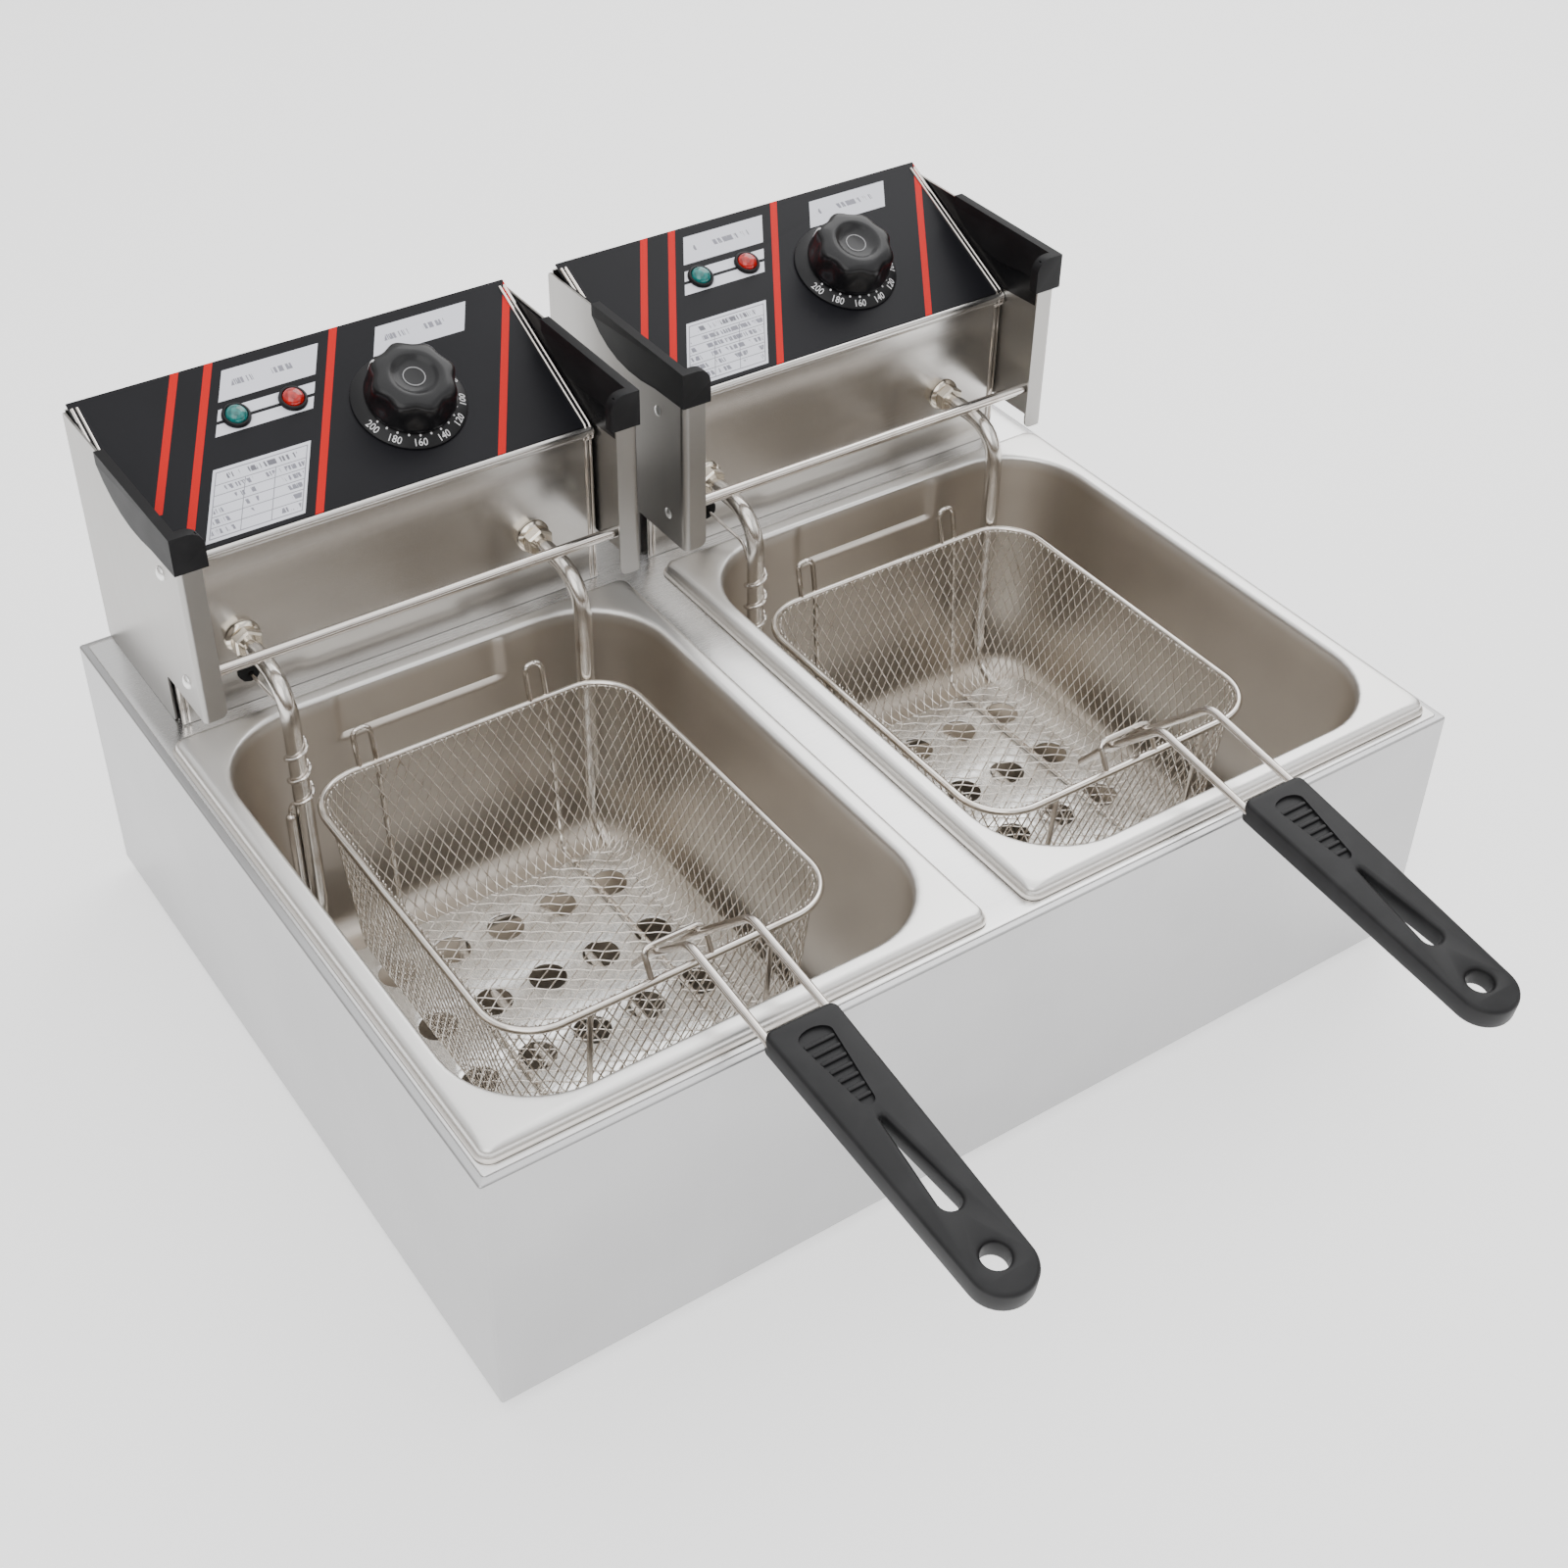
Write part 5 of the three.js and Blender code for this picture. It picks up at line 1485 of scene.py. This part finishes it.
    def frame_wires(self) -> None:
        """The rim, the long wires with their hooks and the front loop for the handle."""
        path = level(outline(self.width, self.depth, self.corner, 14, 6, self.x, self.y), self.rim)
        out = unit(np.cross(np.roll(path, -1, 0) - np.roll(path, 1, 0), UP))
        turn = around(14)
        round_ = out[:, None] * np.cos(turn)[:, None] + UP * np.sin(turn)[:, None]
        tube = path[:, None] + self.rim_wire / 2 * round_
        skin = Skin().grid(np.concatenate([tube, tube[:1]]), loop=True)
        front, back = self.y - self.depth / 2, self.y + self.depth / 2
        low, out_ = 33.8 + 0.3 + self.frame_wire / 2, self.frame_wire / 2 + 0.2 - self.rim_wire / 2
        for side in SIDES.values():
            sx = self.x + side * 50.0
            points = [
                (sx, front + out_, self.rim), (sx, front + self.taper + out_, low),
                (sx, back - self.taper - out_, low), (sx, back - out_ + 0.6, self.rim),
                (sx, back + 5, self.rim + 21), (sx - 10, back + 5, self.rim + 21), (sx - 10, back, self.rim),
            ]
            line = bent(points, 4.9, 10, 10.0)
            skin.tubes(line[None], self.frame_wire / 2, 10, np.array([1.0, 0.31, 0.17]))
        foot = 16.5
        loop = [
            (self.x - foot, front, self.rim), (self.x - foot, front + 8, self.rim + 15),
            (self.x + foot, front + 8, self.rim + 15), (self.x + foot, front, self.rim),
        ]
        skin.tubes(bent(loop, 4.5, 7, 10.0)[None], self.frame_wire / 2, 10, np.array([0.2, 1.0, -0.6]))
        self._piece(skin, "frame_wires", WIRE, "bright_wire", "basket_frame")

    def build(self) -> None:
        """Makes the net, its frame and the handle."""
        self.walls()
        self.net_floor()
        self.frame_wires()
        Handle(self).build()


@dataclass(frozen=True)
class Handle(Sided):
    """Two sprung rods in a long flat grip with ribs, a pointed slot and a hole to hang it by."""

    basket: Basket
    near: tuple[float, float] = (-13.0, 181.0)
    far: tuple[float, float] = (-169.0, 162.5)
    rod_x: float = 16.3
    rod: float = 4.4
    thick: float = 12.0
    half_near: float = 18.5
    half_far: float = 15.5

    rides = "basket"

    @property
    def side(self) -> str:
        """The basket's side."""
        return self.basket.side

    @property
    def tilt(self) -> float:
        """The grip's slope in radians."""
        return math.atan2(self.near[1] - self.far[1], self.near[0] - self.far[0])

    @property
    def length(self) -> float:
        """The grip's length."""
        return math.hypot(self.near[1] - self.far[1], self.near[0] - self.far[0])

    def space(self) -> Space:
        """The grip's place: x across, y towards the basket, from the end of the grip nearest it."""
        return Space.tilted(self.basket.x, *self.near, self.tilt)

    def rods(self) -> None:
        """The rods, from inside the grip over the pan's edge and under the basket's loop."""
        b = self.basket
        front = b.y - b.depth / 2
        fall = math.tan(self.tilt)
        skin = Skin()
        for side in SIDES.values():
            points = [
                (b.x + side * self.rod_x, self.near[0] - 4, self.near[1] - 4 * fall),
                (b.x + side * self.rod_x, 47.0, self.near[1] + fall * (47 - self.near[0])),
                (b.x + side * 11, front + 8, b.rim + 9.6),
                (b.x + side * 10, front + 26, b.rim - 13),
            ]
            skin.tubes(bent(points, 12.0, 8, 12.0)[None], self.rod / 2, 14, RIGHT)
        self._piece(skin, "handle_rods", ROD, "bright_wire", "handle_frame")

    def grip(self) -> None:
        """The moulded grip."""
        place = self.space()
        arc = np.linspace(math.pi, TAU, 25)
        end = np.column_stack([self.half_far * np.cos(arc), -self.length + self.half_far * (1 + np.sin(arc))])
        near = quarter(6)
        right = np.column_stack([self.half_near - 4 + 4 * np.cos(near), -4 + 4 * np.sin(near)])
        left = right[::-1] * [-1, 1]
        edge = np.concatenate([end, right, left])
        turn = np.linspace(TAU, math.pi, 13)
        slot = np.column_stack([5.5 * np.cos(turn), -107 + 5.5 * np.sin(turn)])
        slot = np.concatenate([slot, [(-1.2, -61.0), (-0.5, -60.2), (0.5, -60.2), (1.2, -61.0)]])
        hole = circle(6.5, 0.0, -self.length + self.half_far + 4, 32)
        pocket_turn = np.linspace(0, math.pi, 13)
        wide = np.column_stack([8.6 * np.cos(pocket_turn), -13 + 5.0 * np.sin(pocket_turn)])
        thin_turn = np.linspace(math.pi, TAU, 9)
        thin = np.column_stack([3.6 * np.cos(thin_turn), -50 + 3.6 * np.sin(thin_turn)])
        pocket = np.concatenate([wide, thin])[::-1]
        half = self.thick / 2
        skin = Skin().plate([edge, slot, hole], -half, half, 2.0, place, pocket)
        floor = half - 1.6
        rows = np.stack([level(pocket, z) for z in (floor, half)])
        skin.grid(place.out(rows), loop=True)
        skin.fill([pocket[::-1]], floor, place)
        self._piece(skin, "grip_moulding", GRIP_PLASTIC, "grip_plastic", "handle_grip")
        ribs = Skin()
        for k in range(7):
            y = -15.5 - 5.4 * k
            reach = 8.2 - (8.2 - 3.8) * k / 6.5
            rib = outline(2 * reach - 0.6, 2.0, 0.9, 4, y=y)
            ribs.plate([rib], floor - 0.2, half - 0.3, 0.5, place)
        self._piece(ribs, "grip_ribs", GRIP_PLASTIC, "grip_plastic")

    def build(self) -> None:
        """Makes the rods and the grip."""
        self.rods()
        self.grip()


# ---------------------------------------------------------------- studio


@dataclass(frozen=True)
class Softbox:
    """A large square lamp aimed at the object."""

    name: str
    place: tuple[float, float, float]
    size: float
    power: float
    color: tuple[float, float, float] = (1.0, 1.0, 1.0)

    def build(self, target: Vector) -> None:
        """Puts the lamp in the scene, turned to the target."""
        data = bpy.data.lights.new(self.name, "AREA")
        data.energy, data.size, data.color = self.power, self.size, self.color
        lamp = bpy.data.objects.new(self.name, data)
        lamp.location = self.place
        lamp.rotation_euler = (target - lamp.location).to_track_quat("-Z", "Y").to_euler()
        bpy.context.scene.collection.objects.link(lamp)


@dataclass(frozen=True)
class Studio:
    """A pale sweep, a bright room with a warm dark band at eye level, soft lamps and the camera."""

    eye: tuple[float, float, float] = (-0.528, -0.699, 0.8735)
    right: tuple[float, float, float] = (0.82496, -0.56492, 0.0175)
    up: tuple[float, float, float] = (0.35161, 0.5372, 0.76667)
    lens: float = 51.42

    def room(self) -> None:
        """The world: a white dome over a warm dark band, which lights the object and is reflected.

        What is looked at directly is a plain pale backdrop instead.
        """
        world = bpy.data.worlds.new("room")
        bpy.context.scene.world = world
        shader = Shader("room", world)
        direction = shader.node("ShaderNodeTexCoord", out="Generated")
        _, _, z = shader.split(direction)
        stops = [
            (0.0, (0.9, 0.9, 0.9)), (0.46, (0.8, 0.78, 0.76)), (0.5, (0.2, 0.15, 0.11)),
            (0.58, (0.13, 0.095, 0.07)), (0.65, (0.45, 0.41, 0.37)), (0.75, (1.0, 1.0, 1.0)),
            (1.0, (1.0, 1.0, 1.0)),
        ]
        ramp = shader.node("ShaderNodeValToRGB", {"stops": stops}, {0: z * 0.5 + 0.5})
        sky = shader.node("ShaderNodeBackground", inputs={"Color": ramp, "Strength": 1.02})
        pale = {"Color": (0.95, 0.95, 0.95, 1.0), "Strength": 1.0}
        plain = shader.node("ShaderNodeBackground", inputs=pale)
        seen = shader.node("ShaderNodeLightPath", out="Is Camera Ray")
        both = shader.node("ShaderNodeMixShader", inputs={0: seen, 1: sky, 2: plain})
        output = shader.tree.nodes.new("ShaderNodeOutputWorld")
        shader.tree.links.new(both.socket, output.inputs["Surface"])

    def floor(self) -> None:
        """A large plain floor under the feet."""
        mesh = bpy.data.meshes.new("sweep")
        r = 12.0
        mesh.from_pydata([(-r, -r, 0), (r, -r, 0), (r, r, 0), (-r, r, 0)], [], [(0, 1, 2, 3)])
        mesh.materials.append(material(Floor()))
        obj = bpy.data.objects.new("sweep", mesh)
        bpy.context.scene.collection.objects.link(obj)

    def camera(self) -> None:
        """The camera, at the viewing angle the piece is shown from."""
        data = bpy.data.cameras.new("view")
        data.lens, data.sensor_width = self.lens, 36.0
        data.clip_start, data.clip_end = 0.01, 100.0
        camera = bpy.data.objects.new("view", data)
        right, up = Vector(self.right).normalized(), Vector(self.up).normalized()
        back = right.cross(up)
        turn = Matrix((right, back.cross(right), back)).transposed()
        camera.matrix_world = Matrix.Translation(self.eye) @ turn.to_4x4()
        bpy.context.scene.collection.objects.link(camera)
        bpy.context.scene.camera = camera

    def build(self) -> None:
        """Sets the room, the floor, the lamps and the camera."""
        self.room()
        self.floor()
        self.camera()
        target = Vector((0.0, 0.0, 0.12))
        for lamp in (
            Softbox("key", (-1.3, -1.1, 1.9), 1.8, 18.0),
            Softbox("top", (0.2, 0.3, 2.2), 2.4, 18.0),
            Softbox("behind", (1.4, 1.0, 1.5), 1.6, 20.0),
            Softbox("fill", (1.6, -1.5, 1.2), 1.6, 5.0),
        ):
            lamp.build(target)


def main() -> None:
    """Builds everything."""
    logging.basicConfig(level=logging.INFO, format="%(message)s")
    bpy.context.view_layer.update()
    Body().build()
    for side in SIDES:
        Pan(side).build()
        head = Head(side)
        head.build()
        Heater(head).build()
        Basket(side).build()
    Studio().build()


if __name__ == "__main__":
    main()
